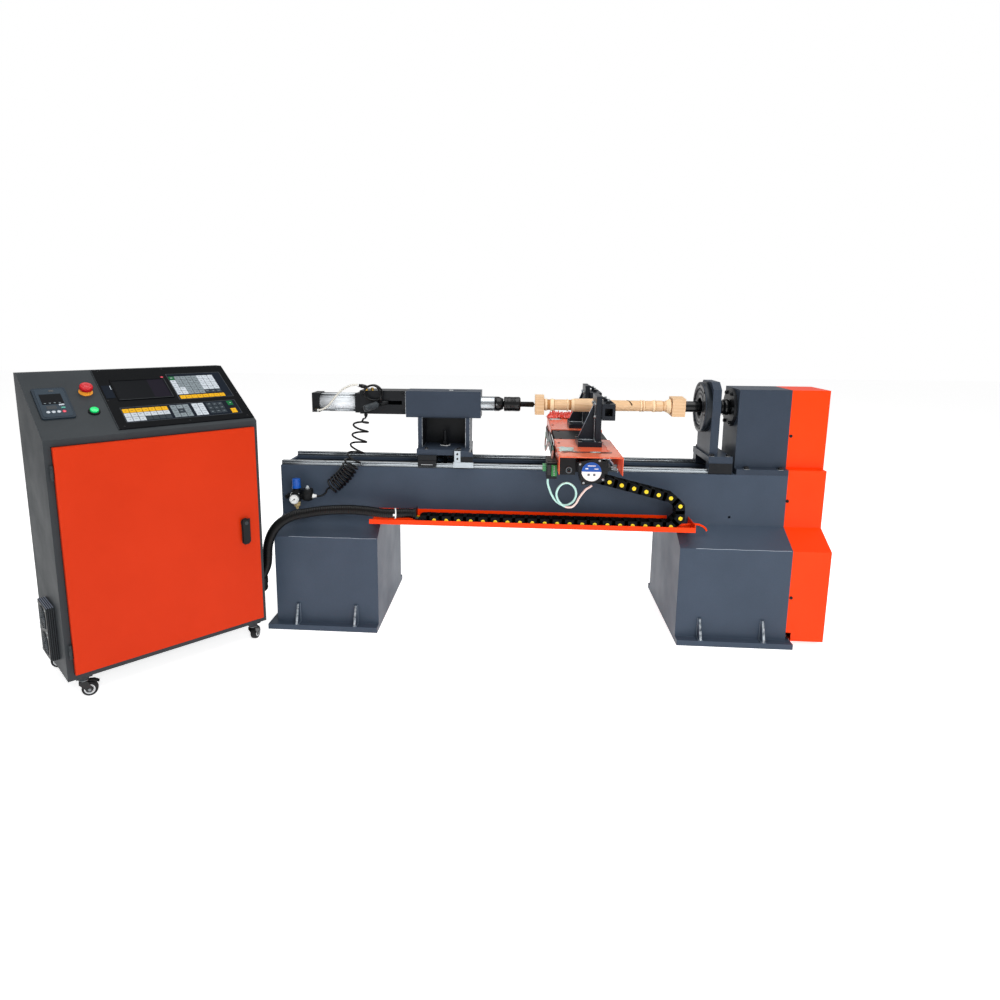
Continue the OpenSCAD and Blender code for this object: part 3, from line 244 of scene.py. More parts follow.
@dataclass(frozen=True)
class Finish:
    """A surface: its colour, gloss, fine grain, broad mottling and softened edges."""

    name: str
    colour: str
    second: str
    roughness: float
    metallic: float = 0.0
    grain_mm: float = 1.5
    grain_share: float = 0.12
    bump_mm: float = 0.04
    mottle_mm: float = 180.0
    mottle_share: float = 0.5
    edge_mm: float = 0.4
    coat: float = 0.0
    pattern: Pattern = Pattern.PLAIN
    transmission: float = 0.0
    glow: float = 0.0
    specular: float = 0.3

    def material(self) -> bpy.types.Material:
        """The Blender material of this finish, made once.

        A broad noise blends the two colours, and a fine noise shades them and gives the bump.

        Returns:
            The material.
        """
        found = bpy.data.materials.get(self.name)
        if found is not None:
            return found
        material, tree, place = new_material(self.name)
        laid = add_node(tree, "Mapping", {"Vector": place}, Scale=self.pattern.value).outputs[0]
        fine = add_node(
            tree, "TexNoise", {"Vector": laid}, Detail=3.0, Scale=1.0 / (self.grain_mm * MM)).outputs["Fac"]
        broad = add_node(tree, "TexNoise", {"Vector": place}, Detail=4.0, Roughness=0.6,
                         Scale=1.0 / (self.mottle_mm * MM)).outputs["Fac"]
        base = add_node(tree, "Mix", {"Factor": remap(tree, broad, 0.0, self.mottle_share)},
                        data_type="RGBA", A=linear(self.colour), B=linear(self.second))
        gloss = remap(tree, broad, max(0.04, self.roughness * 0.88), min(1.0, self.roughness * 1.14))
        lit = {"Emission_Color": linear(self.colour), "Emission_Strength": self.glow} if self.glow else {}
        coated(tree, base.outputs["Result"], fine, (1.0 - self.grain_share, 1.0 + self.grain_share),
               self.edge_mm, {"Strength": 0.6, "Distance": self.bump_mm * MM}, {"Roughness": gloss},
               Metallic=self.metallic, Coat_Weight=self.coat, Coat_Roughness=0.12,
               Specular_IOR_Level=self.specular, Transmission_Weight=self.transmission, **lit)
        return material


# Welded steel sprayed with one coat of slate enamel: a slight orange peel and a soft gloss.
SLATE = Finish("slate_enamel_on_welded_steel", "#3f4a59", "#36404d", 0.42, grain_mm=2.2, grain_share=0.07,
               bump_mm=0.09, edge_mm=2.2, specular=0.15)
SLATE_DARK = Finish(
    "slate_enamel_on_machined_plate", "#343d4a", "#2c343f", 0.4, grain_mm=1.8, grain_share=0.06,
    bump_mm=0.06, edge_mm=1.4, specular=0.15)
# Folded sheet with orange powder coat: even colour, fine peel, satin gloss.
ORANGE = Finish(
    "orange_powder_coat", "#ee3d05", "#e43703", 0.38, grain_mm=1.4, grain_share=0.03, bump_mm=0.03,
    edge_mm=1.0, specular=0.15)
DOOR_ORANGE = Finish(
    "door_orange_powder_coat", "#c22f06", "#b62a05", 0.4, grain_mm=1.4, grain_share=0.03, bump_mm=0.03,
    mottle_mm=260.0, edge_mm=1.0, specular=0.12)
CABINET = Finish(
    "grey_texture_powder_coat", "#35393c", "#2e3235", 0.55, grain_mm=1.1, grain_share=0.09, bump_mm=0.07,
    edge_mm=1.4, specular=0.15)
# Red powder coat seen through the clinging clear film it is shipped in.
HOOD = Finish("red_powder_coat_under_film", "#e4613c", "#da5434", 0.34, grain_mm=3.0, grain_share=0.05,
              bump_mm=0.08, edge_mm=1.0, coat=0.2)
FILM = Finish("crumpled_red_protective_film", "#e83f28", "#d0301e", 0.14, grain_mm=6.0, grain_share=0.1,
              bump_mm=0.5, coat=0.8)
TABLE = Finish(
    "black_anodised_table", "#17191b", "#111315", 0.4, edge_mm=0.8, pattern=Pattern.ALONG_Y, specular=0.2)
BLACK_OXIDE = Finish(
    "black_oxide_steel", "#17191c", "#111316", 0.36, 0.2, bump_mm=0.03, edge_mm=0.7, specular=0.25)
BLACK_PAINT = Finish("satin_black_paint", "#14161a", "#0f1113", 0.36, edge_mm=0.9, specular=0.2)
RAIL = Finish("ground_rail_steel", "#9aa0a4", "#8a9095", 0.24, 0.9, grain_mm=0.8, grain_share=0.04,
              bump_mm=0.01, edge_mm=0.6, pattern=Pattern.ALONG_X)
GROUND_Y = Finish(
    "ground_steel_along_y", "#9aa0a4", "#868c91", 0.28, 0.9, grain_mm=0.8, bump_mm=0.02, edge_mm=0.6,
    pattern=Pattern.ALONG_Y)
TURNED = Finish(
    "turned_bright_steel", "#b2b7bb", "#a3a8ac", 0.24, 0.95, grain_mm=0.9, grain_share=0.05, bump_mm=0.01,
    edge_mm=0.6, pattern=Pattern.ROUND_X)
TURNED_DARK = Finish(
    "turned_steel_oiled", "#6f7579", "#5a6064", 0.3, 0.9, grain_mm=0.9, bump_mm=0.02, edge_mm=0.8,
    pattern=Pattern.ROUND_X)
ALUMINIUM = Finish(
    "satin_anodised_aluminium", "#b4bcc2", "#a8b0b6", 0.3, 0.75, grain_mm=0.9, grain_share=0.05,
    bump_mm=0.01, edge_mm=0.8, pattern=Pattern.ALONG_X)
# Drawn cylinder tube: the brightest metal on the machine, with smooth bands along it.
TUBE = Finish("bright_drawn_cylinder_tube", "#f0f4f8", "#e6ecf1", 0.42, 0.35, grain_mm=2.0,
              grain_share=0.02, bump_mm=0.0, edge_mm=0.6, pattern=Pattern.ALONG_X)
ZINC = Finish("zinc_plated_steel", "#a9adaf", "#8f9496", 0.34, 0.85, grain_mm=1.0, bump_mm=0.02, edge_mm=0.6)
CAST = Finish(
    "painted_cast_iron", "#3b4147", "#33383d", 0.5, grain_mm=2.6, grain_share=0.1, bump_mm=0.2, edge_mm=2.0)
BLACK_PLASTIC = Finish("moulded_black_nylon", "#121416", "#0d0f10", 0.42, edge_mm=0.8, specular=0.2)
GLOSS_BLACK = Finish("gloss_black_plastic", "#0b0c0e", "#08090a", 0.2, bump_mm=0.01, edge_mm=0.6, coat=0.15)
DARK_PLASTIC = Finish("dark_grey_plastic", "#33383c", "#2b2f33", 0.5, edge_mm=0.8)
# Black rubber for the belt and tyres; also painted shadow in the door's gap.
RUBBER_AND_GAP_SHADOW = Finish("black_rubber_and_painted_gap_shadow", "#1b1c1e", "#141516", 0.72, grain_mm=0.9, edge_mm=1.0)
HOSE = Finish("black_polyurethane_hose", "#08090b", "#060708", 0.22, bump_mm=0.01, edge_mm=0.3)
CONDUIT = Finish(
    "corrugated_black_conduit", "#070809", "#050506", 0.34, bump_mm=0.02, edge_mm=0.3, specular=0.25)
BLUE_KNOB = Finish("moulded_blue_plastic", "#0d4fa8", "#0a4596", 0.3, edge_mm=0.6, coat=0.2)
YELLOW_CAP = Finish("yellow_nylon_cap", "#e8cc28", "#dcbc1c", 0.42, edge_mm=0.5)
RED_PLASTIC = Finish("red_moulded_plastic", "#c1121f", "#b00e1a", 0.3, edge_mm=1.0, coat=0.15)
AMBER = Finish("amber_collar_plastic", "#f0a030", "#e49326", 0.35, edge_mm=0.5)
GREEN_LENS = Finish("green_lamp_lens", "#18d070", "#12c064", 0.2, edge_mm=0.6, coat=0.3, glow=0.25)
CYAN_CABLE = Finish("pale_cyan_cable", "#b8e0d8", "#a6d4cc", 0.45, edge_mm=0.3)
GREEN_BLOCK = Finish("green_terminal_plastic", "#2f7d3f", "#276f36", 0.4)
SCREEN = Finish("dark_display_glass", "#0a0d11", "#080a0e", 0.3, bump_mm=0.0, edge_mm=0.3, specular=0.05)
BRASS = Finish("brass_fitting", "#b8964a", "#a5853e", 0.3, 0.9)
WHITE_PLASTIC = Finish("white_plastic", "#e9ebea", "#dfe2e1", 0.4)
WELD = Finish("enamelled_weld_bead", "#5a6674", "#4c5866", 0.36, grain_mm=1.2, grain_share=0.15, bump_mm=0.2)

# Small pieces: labels, keys, wires and glass.
PINK_LEAD = Finish("pale_pink_cable", "#e6cfc8", "#dcc0b8", 0.45, edge_mm=0.3)
CLEAR_HOSE = Finish(
    "clear_polyurethane_hose", "#e6e3da", "#dad7cd", 0.2, bump_mm=0.01, edge_mm=0.3, coat=0.2,
    transmission=0.2)
PALE_FILM = Finish(
    "clinging_clear_film", "#ee7c58", "#e66a47", 0.22, grain_mm=5.0, grain_share=0.06, bump_mm=0.12,
    edge_mm=0.3, coat=0.5)
# Teal and white patches on crumpled film: painted sheen on the folds.
TEAL_FILM = Finish(
    "film_fold_with_painted_teal_and_white_sheen", "#7fb5ae", "#d9e2df", 0.2, grain_mm=4.0, grain_share=0.2, bump_mm=0.3,
    mottle_mm=14.0, mottle_share=1.0, edge_mm=0.3, coat=0.6)
SHADED_FILM = Finish(
    "film_fold_in_shade", "#7a2e20", "#3d2a2a", 0.3, grain_mm=4.0, grain_share=0.2, bump_mm=0.3,
    mottle_mm=20.0, mottle_share=1.0, edge_mm=0.3, coat=0.5)
POST = Finish("slate_enamel_on_tool_post", "#1c2128", "#171b21", 0.34, grain_mm=2.0, grain_share=0.07,
              bump_mm=0.08, edge_mm=1.4, specular=0.2)
# Pale bare metal of the switch angle; also thin painted highlight lines along lit edges of the front
# pedestals and of the tool posts' gussets.
PALE_METAL_AND_HIGHLIGHT = Finish("pale_metal_and_painted_highlight", "#9aa4b0", "#8a95a2", 0.36, 0.3, edge_mm=0.3)
# Dark weld beads: the pale second colour, in small patches, is painted glints on the ripples.
WELD_DARK = Finish(
    "dark_weld_bead_with_painted_glints", "#20262d", "#c2c9cf", 0.26, grain_mm=1.2, grain_share=0.3, bump_mm=0.3,
    mottle_mm=8.0, mottle_share=1.0, specular=0.6)
WELD_SPECKED = Finish(
    "specked_fin_edge", "#2b343f", "#bcc6cc", 0.3, grain_share=0.3, bump_mm=0.3, mottle_mm=11.0,
    mottle_share=1.0, specular=0.5)
CHAIN_NYLON = Finish("matt_black_chain_nylon", "#111315", "#0d0f10", 0.6, edge_mm=0.8, specular=0.08)
RING_STEEL = Finish(
    "blackened_bearing_steel", "#24292e", "#1b1f24", 0.34, 0.3, grain_mm=0.9, bump_mm=0.02, edge_mm=0.8,
    pattern=Pattern.ROUND_X)
ZINC_DARK = Finish(
    "dull_zinc_plate", "#7e8386", "#6b7073", 0.42, 0.8, grain_mm=1.0, bump_mm=0.02, edge_mm=0.6)
LABEL_BLUE = Finish("blue_label_print", "#1450a8", "#124a9c", 0.34, edge_mm=0.2)
LABEL_GREY = Finish("grey_label_print", "#50565c", "#464b50", 0.4, edge_mm=0.2)
GREEN_PALE = Finish("pale_green_terminal_plastic", "#4f9a66", "#458c5b", 0.42)
WIRE_BROWN = Finish("brown_wire", "#6b4434", "#5d3a2c", 0.45, edge_mm=0.3)
WIRE_TEAL = Finish("teal_wire", "#3a6f66", "#33645c", 0.45, edge_mm=0.3)
WIRE_LIME = Finish("yellow_green_wire", "#7f8f4a", "#738342", 0.45, edge_mm=0.3)
WIRE_PINK = Finish("pink_wire", "#b08074", "#a37468", 0.45, edge_mm=0.3)
# Thin rings on the turned blank: painted shade in its grooves and painted highlights on its beads.
WOOD_SHADE = Finish("painted_shade_in_groove", "#b1804f", "#9d6c43", 0.55, edge_mm=0.2, specular=0.15)
WOOD_PALE = Finish("painted_highlight_on_bead", "#f0d4ae", "#e9caa2", 0.55, edge_mm=0.2, specular=0.15)
WOOD_MARK = Finish("burnished_tool_mark", "#3d2813", "#2f1e0e", 0.5, edge_mm=0.2)
DRAIN_BOWL = Finish("yellowed_clear_bowl", "#d8c48c", "#cdb67a", 0.2, edge_mm=0.5, coat=0.4, transmission=0.3)
SMOKED_DOME = Finish("smoked_clear_dome", "#a9afb2", "#989ea1", 0.3, edge_mm=0.5)
KEY_WHITE = Finish("white_key_film", "#bcc3ca", "#b0b7be", 0.4, specular=0.1)
KEY_GREY = Finish("grey_key_film", "#7d878c", "#727c81", 0.4, specular=0.1)
KEY_DARK = Finish("dark_key_film", "#2e363d", "#272f35", 0.4, specular=0.1)
KEY_YELLOW = Finish("yellow_key_film", "#dca514", "#d09a10", 0.4, specular=0.1)
KEY_GREEN = Finish("green_key_film", "#0c5f33", "#0a552d", 0.4, specular=0.1)
KEY_INK = Finish("brown_key_print", "#7c5a10", "#6d4e0c", 0.4, edge_mm=0.2)
TEAL_KEY = Finish("teal_key_film", "#4fa090", "#479384", 0.36)
PANEL_BLACK = Finish(
    "black_faceplate", "#07090c", "#050709", 0.42, grain_share=0.03, bump_mm=0.01, edge_mm=0.8,
    specular=0.05)
PANEL_FIELD = Finish("dark_blue_key_field", "#121923", "#0f151e", 0.5, specular=0.05)
SCREEN_BLUE = Finish(
    "violet_display_glass", "#17131f", "#131019", 0.3, bump_mm=0.0, edge_mm=0.3, specular=0.05)
BEZEL = Finish("blue_grey_keypad_shell", "#232e38", "#1e2831", 0.42, edge_mm=0.8, specular=0.15)
BEZEL_FACE = Finish("blue_grey_keypad_face", "#2a3742", "#25313b", 0.4, edge_mm=0.6, specular=0.15)
LAMP_RED = Finish("red_indicator", "#e0465a", "#d03a4e", 0.3, coat=0.3)
GROOVE = Finish("pale_edge_of_plastic_plates", "#9aa2b4", "#8c94a6", 0.45, edge_mm=0.3)
WIRE_GUARD = Finish("dark_guard_wire", "#3a4046", "#2c3136", 0.35, 0.5, edge_mm=0.3)
HUB_RIM = Finish("pale_hub_ring", "#d4d7d9", "#c4c8ca", 0.25, coat=0.3)


@dataclass(frozen=True)
class Wood:
    """Turned softwood: rings round the heart, drawn out along the grain, with fine pores."""

    name: str = "sanded_turned_softwood"
    light: str = "#e2bf98"
    dark: str = "#d6af84"
    ring_mm: float = 7.0
    edge_mm: float = 1.2
    heart: Triple = (0.0, 175.0, 862.0)

    def material(self) -> bpy.types.Material:
        """The wood's material, whose rings follow the distance from a heart line beside the piece."""
        material, tree, place = new_material(self.name)
        laid = add_node(tree, "Mapping", {"Vector": place}, vector_type="TEXTURE",
                        Location=tuple(LATHE.point(self.heart)), Scale=(14.0, 1.0, 1.0)).outputs[0]
        warp = add_node(tree, "TexNoise", {"Vector": laid}, Scale=14.0, Detail=2.0).outputs["Color"]
        pull = add_node(tree, "VectorMath", {0: warp}, operation="SCALE", Scale=0.02).outputs[0]
        bent = add_node(tree, "VectorMath", {0: laid, 1: pull}, operation="ADD").outputs[0]
        rings = add_node(
            tree, "TexWave", {"Vector": bent}, wave_type="RINGS", rings_direction="X", wave_profile="SAW",
            Scale=math.pi / (10.0 * self.ring_mm * MM), Distortion=1.5, Detail=2.0).outputs["Fac"]
        pores = add_node(tree, "Mapping", {"Vector": place}, Scale=(0.06, 1.0, 1.0)).outputs[0]
        fibre = add_node(tree, "TexNoise", {"Vector": pores}, Scale=900.0, Detail=3.0).outputs["Fac"]
        base = add_node(
            tree, "Mix", {"Factor": rings}, data_type="RGBA", A=linear(self.light), B=linear(self.dark))
        coated(tree, base.outputs["Result"], fibre, (0.9, 1.06), self.edge_mm,
               {"Strength": 0.5, "Distance": 0.1 * MM}, {}, Roughness=0.6)
        return material


# --- surfaces
def grid_faces(rows: int, columns: int, wrap: bool = True) -> list[list[int]]:
    """Quads between neighbouring points of a grid, row after row.

    Args:
        rows: Number of rows of points.
        columns: Number of points in a row.
        wrap: Whether the last column joins the first.

    Returns:
        Four point numbers for each quad.
    """
    i, k = np.meshgrid(np.arange(rows - 1), np.arange(columns - (not wrap)), indexing="ij")
    a, b = i * columns + k, i * columns + (k + 1) % columns
    return np.stack([a, b, b + columns, a + columns], -1).reshape(-1, 4).tolist()


def last_to_first(rows: int, sides: int) -> list[list[int]]:
    """Quads that join a grid's last row of points to its first."""
    last = (rows - 1) * sides
    return [[last + k, last + (k + 1) % sides, (k + 1) % sides, k] for k in range(sides)]


def caps(rows: int, sides: int) -> list[list[int]]:
    """One face that closes a grid's first row of points, and one that closes its last."""
    return [list(range(sides))[::-1], list(range((rows - 1) * sides, rows * sides))]


def ring(sides: int) -> tuple[np.ndarray, np.ndarray]:
    """The cosine and sine of even steps round a circle."""
    turn = np.arange(sides) * 2 * math.pi / sides
    return np.cos(turn), np.sin(turn)


def on_circle(y: float, z: float, radius: float, turns: range | tuple) -> list[Pair]:
    """The y and z of places round an axis along x, at these turns in degrees from straight up."""
    return [(y + radius * math.sin(math.radians(turn)), z + radius * math.cos(math.radians(turn)))
            for turn in turns]


def frames_along(path: np.ndarray, closed: bool = False) -> tuple[np.ndarray, np.ndarray]:
    """Two directions across a path at each of its points.

    The tangent is the difference of the neighbours. The across directions come from a fixed
    reference that lies least along the path.

    Args:
        path: Rows of points.
        closed: Whether the path's end joins its start.

    Returns:
        The two directions, one row of each for each point.
    """
    if closed:
        tangent = np.roll(path, -1, 0) - np.roll(path, 1, 0)
    else:
        tangent = np.gradient(path, axis=0)
    tangent /= np.linalg.norm(tangent, axis=1)[:, None]
    across = np.cross(tangent, np.eye(3)[int(np.argmin(np.abs(tangent).max(0)))])
    across /= np.linalg.norm(across, axis=1)[:, None]
    return across, np.cross(tangent, across)


def distances(path: np.ndarray) -> np.ndarray:
    """The distance along a path at each of its points: the sum of the steps before it."""
    return np.concatenate([[0], np.cumsum(np.linalg.norm(np.diff(path, axis=0), axis=1))])


def evenly(path: np.ndarray, count: int) -> np.ndarray:
    """The same path through evenly spaced points."""
    run = distances(path)
    return np.stack([np.interp(np.linspace(0, run[-1], count), run, path[:, k]) for k in range(3)], 1)


def smooth_path(points: np.ndarray | tuple | list, count: int) -> np.ndarray:
    """A smooth curve through points: piecewise cubics with averaged slopes, evenly spaced.

    Args:
        points: Rows of points that the curve passes through.
        count: Number of points on the curve.

    Returns:
        Rows of points on the curve.
    """
    points = np.asarray(points, float)
    knots = distances(points)
    slope = np.gradient(points, knots, axis=0)
    at = np.linspace(0, knots[-1], count * 8)
    i = np.clip(np.searchsorted(knots, at, side="right") - 1, 0, len(knots) - 2)
    h = (knots[i + 1] - knots[i])[:, None]
    u = ((at - knots[i]) / h[:, 0])[:, None]
    curve = ((2 * u ** 3 - 3 * u ** 2 + 1) * points[i] + (u ** 3 - 2 * u ** 2 + u) * h * slope[i]
             + (3 * u ** 2 - 2 * u ** 3) * points[i + 1] + (u ** 3 - u ** 2) * h * slope[i + 1])
    return evenly(curve, count)


def path_length(path: np.ndarray | tuple) -> float:
    """The sum of the distances between neighbouring points of a path."""
    return float(distances(np.asarray(path, float))[-1])


class Shape:
    """Surfaces gathered into one mesh, each with the finish it is given."""

    def __init__(self, datum: Datum = LATHE) -> None:
        """Starts an empty shape.

        Args:
            datum: The frame that its surfaces are drawn in.
        """
        self.datum = datum
        self.points: list[np.ndarray] = []
        self.faces: list[list[int]] = []
        self.finish: list[int] = []
        self.smooth: list[bool] = []
        self.finishes: list[Finish | Wood] = []
        self.count = 0

    def number(self, finish: Finish | Wood) -> int:
        """The finish's number in the mesh, which a new finish gets here."""
        if finish not in self.finishes:
            self.finishes.append(finish)
        return self.finishes.index(finish)

    def add(self, points: np.ndarray, faces: list, finish: Finish | Wood, smooth: bool = False) -> "Shape":
        """Adds a surface.

        Args:
            points: Rows of x, y, z in millimetres in the shape's frame.
            faces: Point numbers of each face, counted from this surface's first point.
            finish: The surface's finish.
            smooth: Whether its shading is smooth.

        Returns:
            The shape itself, so that calls can follow each other.
        """
        self.points.append(self.datum.place(points))
        self.faces += [[v + self.count for v in face] for face in faces]
        self.finish += [self.number(finish)] * len(faces)
        self.smooth += [smooth] * len(faces)
        self.count += len(points)
        return self

    def absorb(self, other: "Shape") -> None:
        """Takes in the surfaces of another shape, with their finishes.

        Args:
            other: The other shape, drawn in any frame.
        """
        number = [self.number(finish) for finish in other.finishes]
        self.points += other.points
        self.faces += [[v + self.count for v in face] for face in other.faces]
        self.finish += [number[k] for k in other.finish]
        self.smooth += other.smooth
        self.count += other.count

    def block(self, low: tuple, high: tuple, finish: Finish) -> None:
        """A box between its lowest and its highest corner."""
        x, y, z = zip(low, high)
        corners = np.array([[x[i], y[j], z[k]] for k in (0, 1) for j in (0, 1) for i in (0, 1)], float)
        self.add(corners, [(0, 2, 3, 1), (4, 5, 7, 6), (0, 1, 5, 4), (2, 6, 7, 3), (0, 4, 6, 2),
                           (1, 3, 7, 5)], finish)

    def blocks(self, finish: Finish, *corners: tuple) -> None:
        """Boxes of one finish, each given as the six values of its low and high corners."""
        for values in corners:
            self.block(values[:3], values[3:], finish)

    def blocks(self, finish: Finish, *corners: tuple) -> None:
        """Boxes of one finish, each given as the six values of its low and high corners."""
        for values in corners:
            self.block(values[:3], values[3:], finish)

    def rim(self, x: Pair, y: Pair, z: Pair, width: float, finish: Finish) -> None:
        """A rectangular frame across z: two bars along x, then two along y, of one width."""
        (x0, x1), (y0, y1), (z0, z1) = x, y, z
        self.blocks(finish, (x0, y0, z0, x1, y0 + width, z1), (x0, y1 - width, z0, x1, y1, z1),
                    (x0, y0, z0, x0 + width, y1, z1), (x1 - width, y0, z0, x1, y1, z1))

    def turned(self, centre: tuple, axis: tuple, profile: list, finish: Finish | Wood,
               sides: int = 24, smooth: bool = True) -> None:
        """A profile turned about an axis: centre + along * axis + radius * (cos, sin).

        Args:
            centre: A point on the axis.
            axis: The axis's direction.
            profile: Pairs of distance along the axis and radius. A profile that ends where it
                starts makes a ring; any other is closed by a disc at each end.
            finish: The surface's finish.
            sides: Number of steps round.
            smooth: Whether its shading is smooth.
        """
        along = np.array(axis, float) / np.linalg.norm(axis)
        u = np.cross(along, np.eye(3)[int(np.argmin(np.abs(along)))])
        u /= np.linalg.norm(u)
        cos, sin = ring(sides)
        outline = np.array(profile, float)
        grid = (np.array(centre, float) + outline[:, None, :1] * along
                + outline[:, None, 1:] * (cos[:, None] * u + sin[:, None] * np.cross(along, u)))
        rows = len(outline)
        faces = grid_faces(rows, sides)
        same = np.abs(outline[0] - outline[-1]) < 1e-6
        if not same[0]:
            faces += [cap for cap, radius in zip(caps(rows, sides), outline[[0, -1], 1]) if radius > 1e-6]
        elif not same[1]:
            faces += last_to_first(rows, sides)
        self.add(grid.reshape(-1, 3), faces, finish, smooth)

    def swept(self, path: np.ndarray | list, radius: np.ndarray | float, finish: Finish,
              sides: int = 10, closed: bool = False) -> "Shape":
        """A round section carried along a path: point + radius * (cos * across + sin * up).

        Args:
            path: Rows of points.
            radius: One radius, or one for each point.
            finish: The surface's finish.
            sides: Number of steps round.
            closed: Whether the path's end joins its start.

        Returns:
            The shape itself.
        """
        path = np.asarray(path, float)
        across, up = frames_along(path, closed)
        cos, sin = ring(sides)
        reach = np.broadcast_to(np.asarray(radius, float), (len(path),))[:, None, None]
        grid = path[
            :, None] + reach * (cos[None, :, None] * across[:, None] + sin[None, :, None] * up[:, None])
        ends = last_to_first if closed else caps
        faces = grid_faces(len(path), sides) + ends(len(path), sides)
        return self.add(grid.reshape(-1, 3), faces, finish, True)

    def plate(self, outline: list, low: float, high: float, finish: Finish | Wood, normal: int = 2) -> None:
        """A flat outline drawn out between two planes across one axis.

        Args:
            outline: Pairs of values along the other two axes, in order round the outline.
            low: The first plane.
            high: The second plane.
            finish: The plate's finish.
            normal: The axis across the plate, 0, 1 or 2.
        """
        flat = np.array(outline, float)
        after = np.roll(flat, -1, 0)
        if np.sum(flat[:, 0] * after[:, 1] - flat[:, 1] * after[:, 0]) < 0:
            flat = flat[::-1]
        points = np.zeros((2 * len(flat), 3))
        points[:, (normal + 1) % 3], points[:, (normal + 2) % 3] = np.tile(flat, (2, 1)).T
        points[:, normal] = np.repeat([low, high], len(flat))
        self.add(points, grid_faces(2, len(flat)) + caps(2, len(flat)), finish)

    def hex_bolt(self, centre: tuple, axis: tuple, across: float, finish: Finish) -> None:
        """A hexagon head, this wide across its corners, with a chamfered top on a round washer."""
        r = across / 2
        self.turned(
            centre, axis, [(0, r * 1.25), (r * 0.18, r * 1.25), (r * 0.2, r * 1.2)], finish, 20, False)
        self.turned(centre, axis, [(r * 0.2, r), (r * 0.85, r), (r * 0.95, r * 0.86)], finish, 6, False)

    def cap_screw(self, centre: tuple, axis: tuple, radius: float, height: float, finish: Finish) -> None:
        """A round socket head: a rim, a rounded edge and a recess."""
        h, r = height, radius
        self.turned(centre, axis, [(0, r), (h - r * 0.15, r), (h, r * 0.85), (h, r * 0.52),
                                   (h * 0.4, r * 0.5), (h * 0.4, 0)], finish, 18, False)

    def washer(self, centre: tuple, radius: float, top: float, thick: float = 1.2,
               finish: Finish = ZINC, sides: int = 24) -> None:
        """A flat washer whose upper edge is eased to its top radius."""
        self.turned(centre, UP, [(0, radius), (thick, radius), (thick + 0.2, top)], finish, sides, False)

    def pan_screw(self, centre: tuple, axis: tuple, radius: float, finish: Finish) -> None:
        """A low domed screw head with a small recess."""
        r = radius
        self.turned(centre, axis, [(0, r), (r * 0.25, r * 0.95), (r * 0.5, r * 0.7),
                                   (r * 0.58, r * 0.3), (r * 0.3, r * 0.22), (r * 0.3, 0)], finish, 16)

    def weld(self, start: tuple, end: tuple, finish: Finish, radius: float = 3.2) -> None:
        """A weld bead: a thin round run whose radius rises and falls every few millimetres.

        Args:
            start: The bead's start.
            end: The bead's end.
            finish: The bead's finish.
            radius: The bead's largest radius.
        """
        a, b = np.array(start, float), np.array(end, float)
        length = float(np.linalg.norm(b - a))
        u = np.linspace(0, 1, max(12, int(length / 1.6)))
        ripple = radius * (0.8 + 0.2 * np.abs(np.sin(u * length / 5 * math.pi)))
        wander = 0.5 * np.sin(u * length / 17)[:, None] * np.array([0.3, 0.2, 1.0])
        self.swept(a + u[:, None] * (b - a) + wander, ripple, finish, 7)

    def make(self, name: str, body: str, slot: str, bevel: float = 0.0, node: str = "") -> bpy.types.Object:
        """Puts the surfaces into a mesh object and lets it ride on a body.

        Args:
            name: The piece's name.
            body: The body it moves with, or an empty string for a piece that rides on none.
            slot: Not used.
            bevel: Width of its bevelled edges in millimetres, or none.
            node: The CAD node that it is shown in place of, or none.

        Returns:
            The new object.
        """
        mesh = bpy.data.meshes.new(name)
        mesh.from_pydata(np.concatenate(self.points).tolist(), [], self.faces)
        for finish in self.finishes:
            mesh.materials.append(finish.material())
        mesh.polygons.foreach_set("material_index", np.array(self.finish, np.int32))
        mesh.polygons.foreach_set("use_smooth", np.array(self.smooth, bool))
        mesh.update()
        solid = bmesh.new()
        solid.from_mesh(mesh)
        bmesh.ops.recalc_face_normals(solid, faces=solid.faces)
        solid.to_mesh(mesh)
        solid.free()
        piece = add_object(name, mesh)
        if bevel:
            cut = piece.modifiers.new("edges", "BEVEL")
            cut.width, cut.segments = bevel * MM, 2
            cut.limit_method, cut.angle_limit = "ANGLE", math.radians(50)
        if body:
            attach(piece, body)
        if node:
            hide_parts(node)
        LOG.info("%s: %d points, %d faces", name, self.count, len(self.faces))
        return piece


def add_object(name: str, data: bpy.types.ID) -> bpy.types.Object:
    """A new object in the scene with this mesh, lamp or camera."""
    thing = bpy.data.objects.new(name, data)
    bpy.context.scene.collection.objects.link(thing)
    return thing


def dress(finish: Finish, *nodes: str) -> None:
    """Gives CAD nodes a finish, in place of the plain colour they are packed with."""
    for node in nodes:
        mesh = frame["nodes"][node].data
        mesh.materials.clear()
        mesh.materials.append(finish.material())


